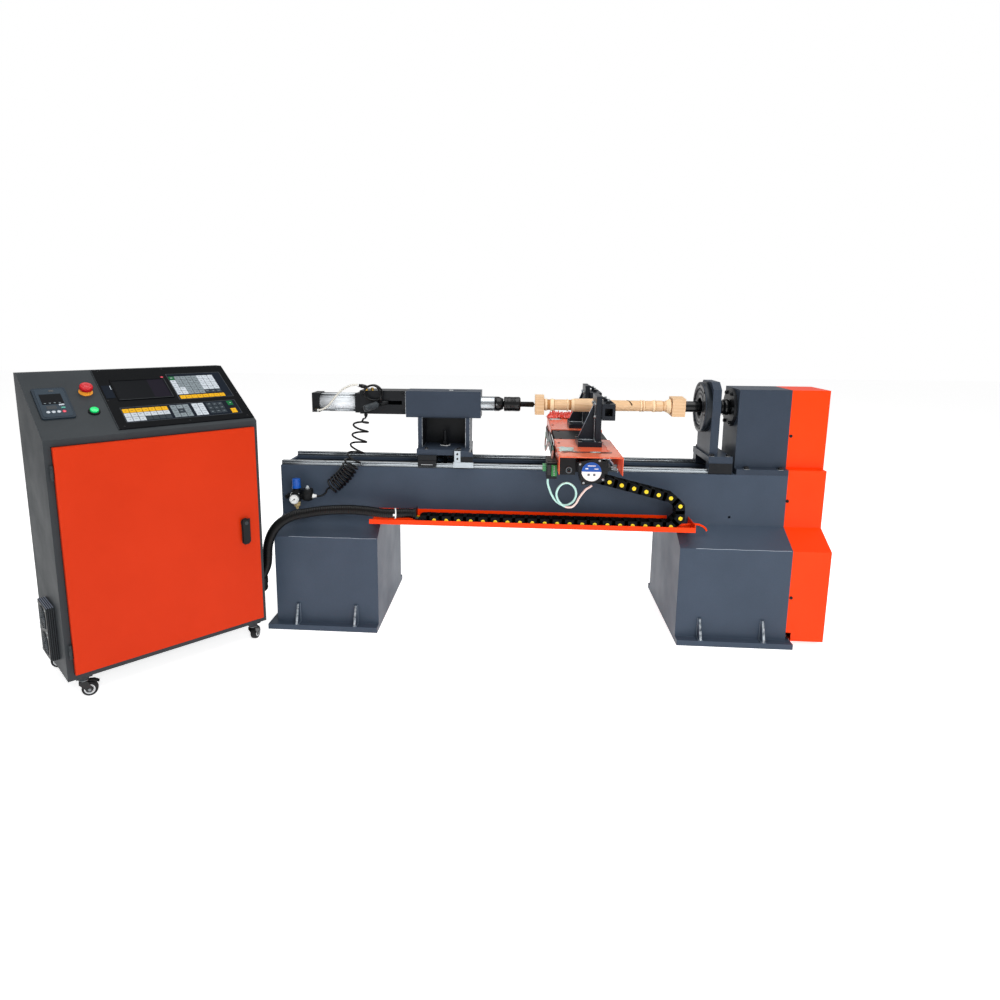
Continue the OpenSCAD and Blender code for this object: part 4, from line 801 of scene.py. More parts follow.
# --- studio
@dataclass
class Studio:
    """Camera, lights, floor and surround."""

    lens_mm: float = 24.05
    sensor_mm: float = 36.0
    shift: Pair = (0.03254, -0.05511)
    yaw: float = -4.39
    pitch: float = 10.12
    roll: float = 0.32
    stand: Triple = (970.75, -2623.11, 1220.0)
    soft_light: float = 0.24
    mirrored_light: float = 0.5
    floor_glow: float = 0.74
    floor_half: float = 14.0

    def camera(self) -> None:
        """Makes the camera at the operator's side of the machine, tilted a little down."""
        a, b, r = (math.radians(v) for v in (self.yaw, self.pitch, self.roll))
        ahead = np.array([math.sin(a) * math.cos(b), math.cos(a) * math.cos(b), -math.sin(b)])
        right = np.array([math.cos(a), -math.sin(a), 0.0])
        up = np.cross(right, ahead)
        across = math.cos(r) * right + math.sin(r) * up
        rise = math.cos(r) * up - math.sin(r) * right
        data = bpy.data.cameras.new("camera")
        data.sensor_width, data.lens = self.sensor_mm, self.lens_mm
        data.shift_x, data.shift_y = self.shift
        camera = add_object("camera", data)
        turn = Matrix([list(across), list(rise), list(-ahead)]).transposed()
        camera.matrix_world = Matrix.Translation(Vector(LATHE.point(self.stand))) @ turn.to_4x4()
        bpy.context.scene.camera = camera

    def lamp(self, name: str, place: Triple, aim: Triple, size: float, power: float,
             mirrored: bool = False) -> None:
        """Adds a soft square lamp.

        Args:
            name: The lamp's name.
            place: Where it hangs, in metres in the row frame.
            aim: The point it faces.
            size: The side of its square.
            power: Its power in watts.
            mirrored: Whether surfaces show its reflection.
        """
        data = bpy.data.lights.new(name, "AREA")
        data.size, data.energy = size, power
        light = add_object(name, data)
        light.visible_glossy = mirrored
        look = (Vector(aim) - Vector(place)).to_track_quat("-Z", "Y").to_matrix().to_4x4()
        light.matrix_world = Matrix.Translation(Vector(place)) @ look

    def surround(self) -> None:
        """A pale world that is white to the camera and to reflections, and softer as light."""
        world = bpy.data.worlds.new("studio")
        bpy.context.scene.world = world
        world.use_nodes = True
        tree = world.node_tree
        tree.nodes.clear()
        rays = add_node(tree, "LightPath").outputs
        seen = add_node(tree, "Math", {0: rays["Is Camera Ray"], 1: rays["Is Transmission Ray"]},
                        operation="MAXIMUM").outputs[0]
        glossy = add_node(tree, "MapRange", {"Value": rays["Is Glossy Ray"]}, To_Min=self.soft_light,
                          To_Max=self.mirrored_light).outputs["Result"]
        strength = add_node(tree, "Math", {0: glossy, 1: seen}, operation="MAXIMUM").outputs[0]
        glow = add_node(tree, "Background", {"Strength": strength}, Color=(1, 1, 1, 1)).outputs[0]
        add_node(tree, "OutputWorld", {"Surface": glow})

    def floor(self) -> None:
        """A wide pale floor that shows as white apart from the shadow on it."""
        half = self.floor_half
        mesh = bpy.data.meshes.new("floor")
        mesh.from_pydata(
            [(-half, -half, 0), (half, -half, 0), (half, half, 0), (-half, half, 0)], [], [(0, 1, 2, 3)])
        material = bpy.data.materials.new("pale_floor_paint")
        material.use_nodes = True
        sockets = material.node_tree.nodes["Principled BSDF"].inputs
        for name, value in (("Base Color", (0.9, 0.9, 0.9, 1)), ("Roughness", 0.9),
                            ("Emission Color", (1, 1, 1, 1)), ("Emission Strength", self.floor_glow)):
            sockets[name].default_value = value
        mesh.materials.append(material)
        add_object("floor", mesh)

    def build(self) -> None:
        """Makes the whole studio."""
        bpy.context.scene.view_settings.view_transform = "Standard"
        self.camera()
        self.surround()
        self.floor()
        self.lamp("overhead", (0.3, -0.6, 4.2), (0.2, 0.2, 0.8), 4.0, 125.0, True)
        self.lamp("front_left", (-2.6, -2.8, 2.0), (-0.5, -0.1, 0.6), 2.0, 5.0)
        self.lamp("front_right", (1.8, -4.8, 2.4), (0.2, 0.0, 0.7), 2.4, 135.0)
        self.lamp("back", (0.5, 4.0, 3.0), (0.2, 0.2, 0.7), 3.0, 50.0)


# --- machine frame
@dataclass
class BedAndPedestals:
    """The welded bed and pedestals, with their weld beads and rails."""

    pedestal_fins: Row = (90, 328, 1690, 1928)
    pedestal_spans: tuple[Pair, ...] = ((0, 420), (1600, 2020))
    front: float = -110
    back: float = 410
    flange_top: float = 22
    fin_half: float = 6
    fin_reach: float = 35
    fin_top: float = 102
    slope_z: float = 383

    def welds(self) -> None:
        """Lays the beads that join the fins, the flanges and the pedestals, and a painted highlight along the
        front pedestals' upper edge.
        """
        beads = Shape()
        for face, way in ((self.front, -1), (self.back, 1)):
            for x in self.pedestal_fins:
                for side in (-1, 1):
                    at = x + side * self.fin_half
                    beads.weld((at, face + way, self.flange_top), (at, face + way, self.fin_top), WELD)
                    beads.weld((at, face, self.flange_top + 1),
                               (at, face + way * self.fin_reach, self.flange_top + 1), WELD)
                beads.swept([(x, face + way * out, z) for out, z in ((6, 100), (32.6, 35), (32.6, 24))], 5,
                            WELD_SPECKED, 10)
            for x0, x1 in self.pedestal_spans:
                beads.weld((x0, face, self.flange_top + 0.5), (x1, face, self.flange_top + 0.5), SLATE, 2.6)
                # Painted highlight: a thin bright line along the front pedestals' upper front edge.
                if way < 0:
                    beads.weld((x0 + 60, face + 0.4, self.slope_z), (x1 - 4, face + 0.4, self.slope_z),
                               PALE_METAL_AND_HIGHLIGHT, 1.1)
        bed = Span.of("bed_beam")
        for x0, x1 in self.pedestal_spans:
            beads.weld((x0, bed.low[1], bed.low[2]), (x1, bed.low[1], bed.low[2]), SLATE, 2)
            beads.weld((x0, bed.high[1], bed.low[2]), (x1, bed.high[1], bed.low[2]), SLATE, 2)
        beads.make("frame_weld_beads", "machine", "frame_grey")

    def build(self) -> None:
        """Dresses the frame and adds the beads."""
        dress(SLATE, "bed_beam", "pedestals")
        dress(RAIL, "guide_rails")
        dress(BLACK_PAINT, "x_servo_drive")
        dress(TURNED, "x_screw")
        self.welds()


@dataclass
class Headstock:
    """The column, the spindle's cartridge and nose, the motor and the end covers."""

    axis: Pair = (120, 903)
    flange_x: float = 1811
    bolt_circle: float = 66
    base_screws: Row = (1862, 1991)
    base_top: float = 674
    cover_screws: tuple[tuple[float, float, float, int], ...] = (
        (2028, 30, 804, -1), (2025, 0, 551, -1), (2028, -110, 197, -1),
        (2028, 210, 804, 1), (2025, 240, 551, 1), (2028, 410, 197, 1))

    def nose(self) -> None:
        """Turns the collars of the spindle's nose."""
        y, z = self.axis
        nose = Shape()
        nose.turned((1757, y, z), RIGHT,
                    [(0, 22.5), (0, 27), (2, 30), (18, 30), (20, 27), (30, 27), (31, 32), (49, 32),
                     (51, 29), (54, 25.5)], GLOSS_BLACK, 36)
        nose.make("spindle_nose_collars", "spindle", "spindle_black")

    def fasteners(self) -> None:
        """Places the flange's cap screws, the column's base screws and the covers' screws."""
        y, z = self.axis
        screws = Shape()
        for place in on_circle(y, z, self.bolt_circle, range(-30, -360, -60)):
            screws.cap_screw((self.flange_x, *place), LEFT, 7.6, 7.5, BLACK_OXIDE)
        for x in self.base_screws:
            screws.washer((x, 7, self.base_top), 12.5, 11)
            screws.cap_screw((x, 7, self.base_top + 0.6), UP, 9, 10, BLACK_OXIDE)
        screws.make("headstock_cap_screws", "machine", "cartridge_black")
        covers = Shape()
        for x, cy, cz, way in self.cover_screws:
            covers.pan_screw((x, cy, cz), (0, way, 0), 6.5, BLACK_OXIDE)
        covers.make("cover_screws", "machine", "cartridge_black")

    def build(self) -> None:
        """Dresses the headstock and adds its pieces."""
        dress(SLATE_DARK, "headstock_column")
        dress(BLACK_PAINT, "spindle_housing")
        dress(GLOSS_BLACK, "spindle_shaft")
        dress(CAST, "spindle_motor")
        dress(TURNED_DARK, "motor_pulley")
        dress(RUBBER_AND_GAP_SHADOW, "v_belt")
        dress(ORANGE, "end_covers", "cable_tray")
        self.nose()
        self.fasteners()


# --- cords
def as_cord(piece: bpy.types.Object, path: np.ndarray, radius_mm: float) -> None:
    """Logs the length and thickness of a mesh tube that is a cord.

    Args:
        piece: The tube.
        path: Its centreline in millimetres in the lathe's frame.
        radius_mm: Its radius in millimetres.
    """
    line = LATHE.place(path)
    LOG.info("%s: %.0f mm long, %.0f mm thick", piece.name, path_length(path), 2 * radius_mm)


@dataclass
class Conduit:
    """The corrugated conduit from the console to the drag chain."""

    radius: float = 19.5
    ripple: float = 2
    pitch: float = 7
    route: tuple = (
        (562, -84, 484), (542, -89, 487), (518, -98, 489), (494, -107, 490), (445, -117, 493),
        (384, -120, 501), (323, -120, 504), (262, -120, 502), (200, -120, 496), (138, -120, 485),
        (100, -121, 477), (60, -124, 461), (30, -128, 440), (6, -132, 411), (-9, -133, 380),
        (-19, -132, 345), (-24, -128, 305), (-30, -122, 272), (-41, -115, 245), (-53, -110, 222),
        (-58, -108, 206))
    tie_at: float = 72

    def build(self) -> None:
        """Sweeps the conduit: its radius falls and rises by a cosine along its length."""
        steps = int(path_length(self.route) / self.pitch) * 5
        path = smooth_path(self.route, steps)
        run = np.linspace(0, path_length(path), steps)
        wave = 0.5 + 0.5 * np.cos(run / self.pitch * 2 * math.pi)
        radius = self.radius - self.ripple * (1 - wave ** 0.6)
        tube = Shape().swept(path, radius, CONDUIT, 20)
        tube = tube.make("corrugated_conduit", "machine", "conduit_plastic", node="conduit")
        dress(BLACK_PLASTIC, "conduit_glands")
        as_cord(tube, path, self.radius)
        self.tie(path, run)
        wires = Shape()
        for y, z, bend, finish in ((-72, 468, 4, WIRE_LIME), (-80, 470, -3, WIRE_LIME),
                                   (-76, 476, 5, KEY_YELLOW), (-88, 472, 3, WIRE_TEAL)):
            wires.swept(smooth_path([(548, y, z), (566, y + bend, z - 3), (584, y - bend, z - 4),
                                     (606, y, z - 6)], 24), 3.2, finish, 8)
        wires.make("wires_into_chain", "machine", "conduit_plastic")

    def tie(self, path: np.ndarray, run: np.ndarray) -> None:
        """Adds the pale cable tie round the conduit near the tray.

        Args:
            path: The conduit's centreline.
            run: The distance along it at each point.
        """
        i = int(np.searchsorted(run, self.tie_at))
        centre, ahead = path[i], path[i + 1] - path[i]
        tie = Shape()
        tie.turned(tuple(centre), tuple(ahead),
                   [(-2.4, self.radius), (-2.4, self.radius + 1.3), (2.4, self.radius + 1.3),
                    (2.4, self.radius)], WHITE_PLASTIC, 28)
        tie.block((centre[0] - 4, centre[1] - 27, centre[2] - 4),
                  (centre[0] + 3, centre[1] - 19, centre[2] + 3), WHITE_PLASTIC)
        tie.make("conduit_cable_tie", "machine", "conduit_plastic")


@dataclass
class CoilHose:
    """The curly air hose between the filter regulator and the tailstock's bracket."""

    radius: float = 4
    coil: float = 30
    route: tuple = (
        (346, 60, 860), (346, 56, 850), (346, 10, 846), (347, -8, 842), (350, -40, 836), (345, -40, 800),
        (336, -42, 750), (320, -44, 700), (298, -46, 655), (269, -48, 616), (236, -50, 586),
        (214, -52, 566), (208, -53, 560), (190, -58, 544), (178, -60, 540), (166, -60, 540))
    first: int = 4
    last: int = 12
    lead: float = 29
    tail: float = 12
    phase: float = 2.16
    rise: float = 24
    fall: float = 44
    open_pitch: float = 42
    close_pitch: float = 14.5
    end_pitch: float = 130
    close_from: float = 0.42
    close_over: float = 0.2
    samples: int = 1500
    step: float = 3.4

    def centreline(self) -> np.ndarray:
        """The helix: the route's point plus the coil's radius round the route's direction.

        The turns are wide apart where the hose hangs and close together lower down.

        Returns:
            Rows of points in millimetres.
        """
        base = smooth_path(self.route, self.samples)
        route = np.array(self.route, float)
        first, knee, last = (int(np.argmin(np.linalg.norm(base - route[k], axis=1)))
                             for k in (self.first, self.first + 1, self.last))
        step = path_length(base) / (len(base) - 1)
        run = np.arange(len(base)) * step
        s0, s1 = run[first] - self.lead, run[last] + self.tail
        share = np.clip((run - s0) / (s1 - s0), 0, 1)
        mix = np.clip((share - self.close_from) / self.close_over, 0, 1)
        pitch = self.open_pitch + (self.close_pitch - self.open_pitch) * mix * mix * (3 - 2 * mix)
        fall = np.clip((s1 - run) / self.fall, 0, 1)
        pitch = pitch + (self.end_pitch - pitch) * (1 - fall)
        inside = (run > s0) & (run < s1)
        phase = self.phase + np.cumsum(np.where(inside, step / pitch, 0)) * 2 * math.pi
        rise = np.clip((run - s0) / self.rise, 0, 1)
        reach = self.coil * (rise * rise * (3 - 2 * rise)) * (fall * fall * (3 - 2 * fall))
        across, up = frames_along(base)
        across[:knee], up[:knee] = across[knee], up[knee]
        helix = base + reach[:, None] * (np.cos(phase)[:, None] * across - np.sin(phase)[:, None] * up)
        return evenly(helix, int(path_length(helix) / self.step))

    def build(self) -> None:
        """Sweeps the hose, bakes its place into its mesh and logs its size."""
        path = self.centreline()
        hose = Shape().swept(path, self.radius, HOSE, 9)
        hose = hose.make("curly_air_hose", "", "hose_black", node="coil_hose")
        line = LATHE.place(path)
        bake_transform(hose)
        as_cord(hose, path, self.radius)


@dataclass
class MotorCable:
    """The pale cable from the driver to the cross slide's motor, with one slack loop."""

    radius: float = 4
    route: tuple = (
        (1080, -262, 684), (1080, -262, 666), (1086, -262, 644), (1097, -262, 618), (1112, -262, 597),
        (1132, -263, 585), (1153, -264, 585), (1171, -265, 597), (1181, -266, 616), (1181, -267, 638),
        (1170, -268, 657), (1151, -269, 667), (1131, -270, 662), (1117, -271, 646), (1112, -272, 626),
        (1118, -273, 605), (1132, -274, 588), (1150, -274, 579), (1168, -273, 580), (1182, -271, 592),
        (1193, -268, 612), (1206, -265, 631), (1219, -263, 645), (1230, -262, 652), (1238, -262, 658))
    sleeve_share: float = 0.735

    def build(self) -> None:
        """Sweeps the cable in its two colours: the cable and the paler motor lead."""
        path = smooth_path(self.route, 240)
        cut = int(len(path) * self.sleeve_share)
        cable = Shape()
        cable.swept(path[:cut + 1], self.radius, CYAN_CABLE, 12)
        cable.swept(path[cut:], self.radius, PINK_LEAD, 12)
        piece = cable.make("motor_cable_with_loop", "cross_slide", "cable_cyan", node="motor_cable")
        as_cord(piece, path, self.radius)


@dataclass
class AirHoses:
    """The cylinder's fittings and its two hoses: a clear one and a looped black one."""

    radius: float = 4
    clear_route: tuple = (
        (131, 68, 872), (143, 68, 872), (156, 69, 874), (170, 71, 880), (186, 72, 892), (208, 70, 918),
        (232, 69, 945), (256, 70, 964), (280, 70, 975), (300, 71, 979), (316, 72, 978), (340, 72, 971))
    loop_route: tuple = (
        (352, 70, 970), (366, 66, 977), (384, 62, 979), (402, 59, 972), (414, 57, 956),
        (414, 56, 938), (405, 54, 926), (388, 53, 919), (364, 53, 922), (349, 52, 934),
        (343, 52, 950), (349, 51, 966), (364, 49, 977), (384, 47, 979), (400, 45, 970),
        (407, 44, 953), (410, 44, 938), (412, 46, 924), (410, 53, 914), (406, 60, 909))

    def fittings(self) -> None:
        """Builds the push-in fittings and the valve's boss and core."""
        fit = Shape()
        fit.turned((131, 80, 872), FRONT, [(0, 7.4), (4, 7.4), (4, 5.6), (8, 5.6)], BRASS, 6, False)
        fit.turned((131, 74, 872), FRONT, [(0, 6), (4, 6.8), (9, 6.4), (12, 4), (13, 1)], GLOSS_BLACK, 20)
        fit.turned((128, 68, 872), RIGHT, [(0, 4), (2, 6.2), (13, 6.2), (14, 5.4)], GLOSS_BLACK, 20)
        fit.turned((142, 68, 872), RIGHT, [(0, 5), (0, 6.6), (2.2, 6.6), (2.2, 4.2), (0, 4.2), (0, 5)],
                   WHITE_PLASTIC, 18)
        fit.turned((346, 71, 956), UP, [(0, 8), (5, 8), (5, 6.5), (14, 6.5)], BRASS, 6, False)
        fit.turned((317, 71.6, 976.5), (1, 0, -0.2), [(0, 5.5), (0.5, 6.8), (8, 6.8), (9, 8.4), (26, 8.4),
                                                      (27, 7), (34, 7), (35, 5.5)], GLOSS_BLACK, 18)
        fit.turned((312, 71.5, 977.6), (1, 0, -0.1), [(0, 4.2), (0, 7), (5, 7), (5, 4.2), (0, 4.2)],
                   WHITE_PLASTIC, 18)
        fit.turned((404, 59, 904), BACK, [(0, 10), (12.9, 10)], BLACK_OXIDE, 24)
        fit.turned((372, 71.5, 957), UP, [(0, 8), (5, 8), (5, 6), (11, 6), (12, 4.5)], BRASS, 6, False)
        fit.turned(
            (400, 60, 903.5), (1, 0, 0.16), [(0, 9), (26, 9), (27, 7.6), (40, 7.6)], BLACK_PLASTIC, 20)
        valve = Shape(VALVE)
        valve.turned((0, 0, 0), UP, [(0, 7), (40, 7)], ZINC, 24)
        fit.make("air_fittings", "tailstock", "hose_black", node="air_hoses")
        valve.make("valve_core", "tailstock", "valve_black", node="air_hoses")

    def build(self) -> None:
        """Builds the fittings and both hoses."""
        self.fittings()
        for name, route, finish, steps in (("clear_air_hose", self.clear_route, CLEAR_HOSE, 90),
                                           ("looped_air_hose", self.loop_route, HOSE, 130)):
            path = smooth_path(route, steps)
            hose = Shape().swept(path, self.radius, finish, 12).make(name, "tailstock", "hose_black")
            as_cord(hose, path, self.radius)


# --- drag chain
@dataclass
class DragChain:
    """The drag chain: a run in the tray, a bend and a slope up to the carriage."""

    pitch: float = 48
    half_height: float = 17
    front: float = -110
    width: float = 60
    start: Pair = (600, 466)
    run: int = 20
    bend: Row = (45, 93.6, 140)
    rising: Row = (166.2,) * 6

    def pins(self) -> list[Triple]:
        """Each link's first pin and its direction: the sum of the links before it.

        Returns:
            Rows of x, z and the direction in degrees.
        """
        turns = (0,) * self.run + self.bend + self.rising
        a = np.radians(turns)
        x = self.start[0] + self.pitch * np.concatenate([[0], np.cumsum(np.cos(a))])
        z = self.start[1] + self.pitch * np.concatenate([[0], np.cumsum(np.sin(a))])
        return [(float(x[i]), float(z[i]), turns[i]) for i in range(len(turns))] + [
            (float(x[-1]), float(z[-1]), turns[-1])]

    def plate(self, shape: Shape, y0: float, y1: float, x0: float, x1: float, round_end: float) -> None:
        """A side plate: a bar with one round end.

        Args:
            shape: The shape to add to.
            y0: The plate's first face.
            y1: The plate's second face.
            x0: The bar's square end.
            x1: The centre of its round end.
            round_end: 1 if the round end faces along the link, or -1.
        """
        r = self.half_height
        turn = np.linspace(-90, 90, 9) if round_end > 0 else np.linspace(90, 270, 9)
        a = np.radians(turn)
        arc = [(x1 + r * math.cos(k), r * math.sin(k)) for k in a]
        square = [(x0, r), (x0, -r)] if round_end > 0 else [(x0, -r), (x0, r)]
        outline = [(z, x) for x, z in arc + square]
        shape.plate(outline, y0, y1, CHAIN_NYLON, 1)

    def link(self, shape: Shape, capped: bool) -> None:
        """One link in its own frame: x along it from its first pin, z up, y across.

        Args:
            shape: The shape to add to.
            capped: Whether its first pin shows a yellow cap.
        """
        half, mid = self.width / 2, self.pitch / 2
        for way in (-1, 1):
            inner, outer = way * (half - 7.6), way * half
            self.plate(shape, inner, way * (half - 4.2), mid + 6, 0, -1)
            self.plate(shape, way * (half - 3.9), way * (half - 0.9), mid - 6, self.pitch, 1)
            shape.block((mid - 6.2, min(inner, outer * 0.97), -self.half_height),
                        (mid + 6.2, max(inner, outer * 0.97), self.half_height), CHAIN_NYLON)
            shape.turned((0, outer - way * 1.4, 0), (0, way, 0),
                         [(0, 7.9), (0.9, 7.9), (1.4, 7.3), (1.4, 4.2), (0.6, 3.8), (0.6, 0)],
                         YELLOW_CAP if capped else CHAIN_NYLON, 16, False)
        for z in (-self.half_height, self.half_height - 3):
            shape.block((mid - 6.2, -half + 7, z), (mid + 6.2, half - 7, z + 3), CHAIN_NYLON)
            for y in (-12, 0, 12):
                shape.block((mid - 4.5, y - 1.4, z - 0.8), (mid + 4.5, y + 1.4, z + 3.8), CHAIN_NYLON)

    def piece(self, name: str, links: list, start_x: float, end_x: float) -> None:
        """Joins some links into one piece and bakes its place into its mesh.

        Args:
            name: The piece's name.
            links: Rows of x, z and direction.
            start_x: The x of the point on the machine's side, which is placed in metres.
            end_x: The x of the point on the carriage's side, which is placed in metres.
        """
        whole = Shape()
        for x, z, turn in links:
            one = Shape(LATHE.moved((x, self.front + self.width / 2, z)).turned(1, -turn))
            self.link(one, x > self.start[0])
            whole.absorb(one)
        made = whole.make(name, "", "chain_nylon", node="drag_chain")
        start, end = LATHE.place([[start_x, 0, 0], [end_x, 0, 0]])
        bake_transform(made)

    def build(self) -> None:
        """Builds the chain in three pieces that meet at the bend."""
        pins = self.pins()
        first, last = self.run, self.run + len(self.bend)
        low_x, top_x, far_x = pins[first][0], pins[last][0], pins[-1][0]
        self.piece("drag_chain_in_tray", pins[:first], self.start[0], 2 * low_x - self.start[0])
        self.piece("drag_chain_bend", pins[first:last], low_x - 9000, low_x + 9000)
        self.piece("drag_chain_slope", pins[last:-1], 2 * top_x - far_x, far_x)


# --- carriage
@dataclass
class Film:
    """Thin protective film on a hood: flat, torn along its edges, or pushed into folds."""

    name: str
    x: Pair
    y: Pair
    z: float
    finish: Finish
    fold_mm: float = 0.5
    fold_pitch: float = 16
    torn_mm: float = 4
    seed: int = 1
    cell_mm: float = 2.4
    lift_mm: float = 0.35
    thickness_mm: float = 0.25

    def build(self) -> None:
        """Lays the film: height is a sum of slanted waves, and its rim wanders by the tear."""
        rng = np.random.default_rng(self.seed)
        nx, ny = (max(24, int((high - low) / self.cell_mm)) for low, high in (self.x, self.y))
        u, v = np.meshgrid(np.linspace(0, 1, nx), np.linspace(0, 1, ny))
        x, y = self.x[0] + u * (self.x[1] - self.x[0]), self.y[0] + v * (self.y[1] - self.y[0])
        folds = np.zeros_like(x)
        for k in range(7):
            a, phase = rng.uniform(0, math.pi), rng.uniform(0, 6.3)
            pitch = self.fold_pitch * rng.uniform(0.6, 2.2)
            wave = np.sin((x * math.cos(a) + y * math.sin(a)) / pitch * 2 * math.pi + phase
                          + 1.5 * np.sin(x / pitch + k))
            folds += (1 - np.abs(wave)) ** 2 / (1 + 0.4 * k)
        folds = folds / folds.max() * self.fold_mm
        rim = np.minimum(np.minimum(u, 1 - u) * nx, np.minimum(v, 1 - v) * ny)
        edge = np.clip(1 - rim / 6, 0, 1)
        for k in range(4):
            shift = np.sin(y / rng.uniform(4, 15) + k) * edge * self.torn_mm / (k + 1)
            x = x + shift * np.where(u < 0.5, 1, -1)
            y = y + np.sin(x / rng.uniform(4, 15) + k) * edge * self.torn_mm / (k + 1)
        points = np.stack([x, y, self.z + self.lift_mm + folds * (1 - 0.8 * edge)], -1).reshape(-1, 3)
        film = Shape()
        film.add(points, grid_faces(ny, nx, False), self.finish, True)
        piece = film.make(self.name, "cross_slide", "hood_red")
        thick = piece.modifiers.new("film_thickness", "SOLIDIFY")
        thick.thickness, thick.offset = self.thickness_mm * MM, 1


@dataclass
class Carriage:
    """The saddle, the cross slide with its hoods and motor, and what is wired to it."""

    motor_centre: Triple = (1234, -268, 709.5)
    motor_turn: float = -11.6
    screw_half: float = 34.8
    label_radius: float = 35

    def films(self) -> None:
        """Lays the film on both hoods."""
        top = Span.of("hoods").high[2]
        # The teal pieces carry painted sheen on their folds.
        lay = (
            Film("film_front_left", (1114, 1196), (-358, -6), top, PALE_FILM, 0.5, 30, 3, 3),
            Film("film_front_right", (1294, 1328), (-330, -4), top, PALE_FILM, 0.5, 30, 3, 4),
            Film("film_front_edge", (1118, 1322), (-360, -286), top, PALE_FILM, 0.6, 22, 4, 5),
            Film("film_crumpled_strip", (1120, 1172), (-266, -176), top + 0.6, TEAL_FILM, 3, 12, 6, 8),
            Film("film_shaded_fold", (1128, 1176), (-286, -250), top + 0.9, SHADED_FILM, 2, 12, 6, 11),
            Film("film_torn_ridge", (1172, 1304), (-284, -262), top + 0.6, SHADED_FILM, 2.4, 10, 3, 9),
            Film("film_ridge_painted_sheen", (1228, 1262), (-280, -266), top + 1.2, TEAL_FILM, 2.4, 9, 3, 10),
            Film("film_rear_left", (1114, 1226), (256, 560), top, PALE_FILM, 0.6, 26, 3, 6),
            Film("film_rear_patch", (1120, 1168), (548, 610), top + 0.5, TEAL_FILM, 2, 13, 5, 7),
            Film("film_rear_crumpled", (1110, 1262), (604, 680), top, FILM, 40, 26, 5, 12),
            Film("film_rear_loose", (1110, 1290), (630, 680), top, FILM, 22, 18, 5, 14))
        for film in lay:
            film.build()

    def hood_screws(self) -> None:
        """Places the black screws on the hoods' left edges."""
        screws = Shape()
        for place, axis in (((1125.6, -91, 780), UP), ((1125, 377, 780), UP), ((1124, 541, 780), UP),
                            ((1112, -95, 756), LEFT), ((1112, -300, 752), LEFT), ((1112, 320, 754), LEFT),
                            ((1112, 600, 742), LEFT), ((1330, -95, 756), RIGHT), ((1330, -300, 752), RIGHT),
                            ((1330, 320, 754), RIGHT)):
            screws.pan_screw(place, axis, 5.5, BLACK_OXIDE)
        screws.make("hood_screws", "cross_slide", "table_black")

    def motor(self) -> None:
        """Adds the cross motor's round label, screws and grommet."""
        centre = LATHE.moved(self.motor_centre)
        label = Shape(centre)
        r = self.label_radius
        upper, lower = np.linspace(0, math.pi, 25), np.linspace(math.pi, 2 * math.pi, 25)
        for arc, finish in ((upper, LABEL_BLUE), (lower, WHITE_PLASTIC)):
            label.plate([(r * math.sin(a), r * math.cos(a)) for a in arc], -0.7, 0, finish, 1)
        label.blocks(WHITE_PLASTIC, (-14, -1, 20, 14, -0.7, 23), (-22, -1, 9, -12, -0.7, 13),
                     (10, -1, 9, 24, -0.7, 12))
        for x in (-14, 6):
            label.block((x, -1, -15), (x + 8, -0.7, -7), LABEL_GREY)
        label.turned(
            (0, 0, 0), FRONT, [(0, r), (0, r + 1.6), (1.4, r + 1.6), (1.4, r), (0, r)], GLOSS_BLACK, 40)
        label.make("cross_motor_label", "cross_slide", "motor_black")
        screws = Shape(centre.turned(1, self.motor_turn))
        for x in (-self.screw_half, self.screw_half):
            for z in (-self.screw_half, self.screw_half):
                screws.cap_screw((x, 0, z), FRONT, 4.2, 3.6, ZINC)
        for z in np.linspace(-38, 38, 2):
            screws.block((-41.6, 25, z - 1), (41.6, 95, z + 1), TURNED_DARK)
        screws.make("cross_motor_screws", "cross_slide", "motor_black")
        grommet = Shape()
        grommet.turned((1156, -236, 708), FRONT, [(-4, 8.6), (0, 8.6), (0, 11.5), (2, 12.4), (3.4, 11),
                                                  (3.4, 8), (-4, 7)], TURNED_DARK, 28)
        grommet.pan_screw((1126, -236, 764), FRONT, 4.5, ZINC)
        grommet.make("switch_plate_grommet", "cross_slide", "motor_black")

    def bracket(self) -> None:
        """Adds the aluminium angle in the front hood's right side."""
        angle = Shape()
        angle.plate([(757, 1292), (760, 1296), (734, 1316), (731, 1311)], -242.5, -240.5, PALE_METAL_AND_HIGHLIGHT, 1)
        angle.block((1311, -243, 712), (1327, -240, 733), ZINC_DARK)
        angle.blocks(
            PALE_METAL_AND_HIGHLIGHT, (1325, -262, 708, 1327.5, -222, 712), (1290, -243, 757.5, 1306, -238, 759.5))
        angle.cap_screw((1319, -243, 721), FRONT, 3.5, 3, ZINC)
        angle.make("switch_angle", "cross_slide", "cylinder_aluminium", 0.8)

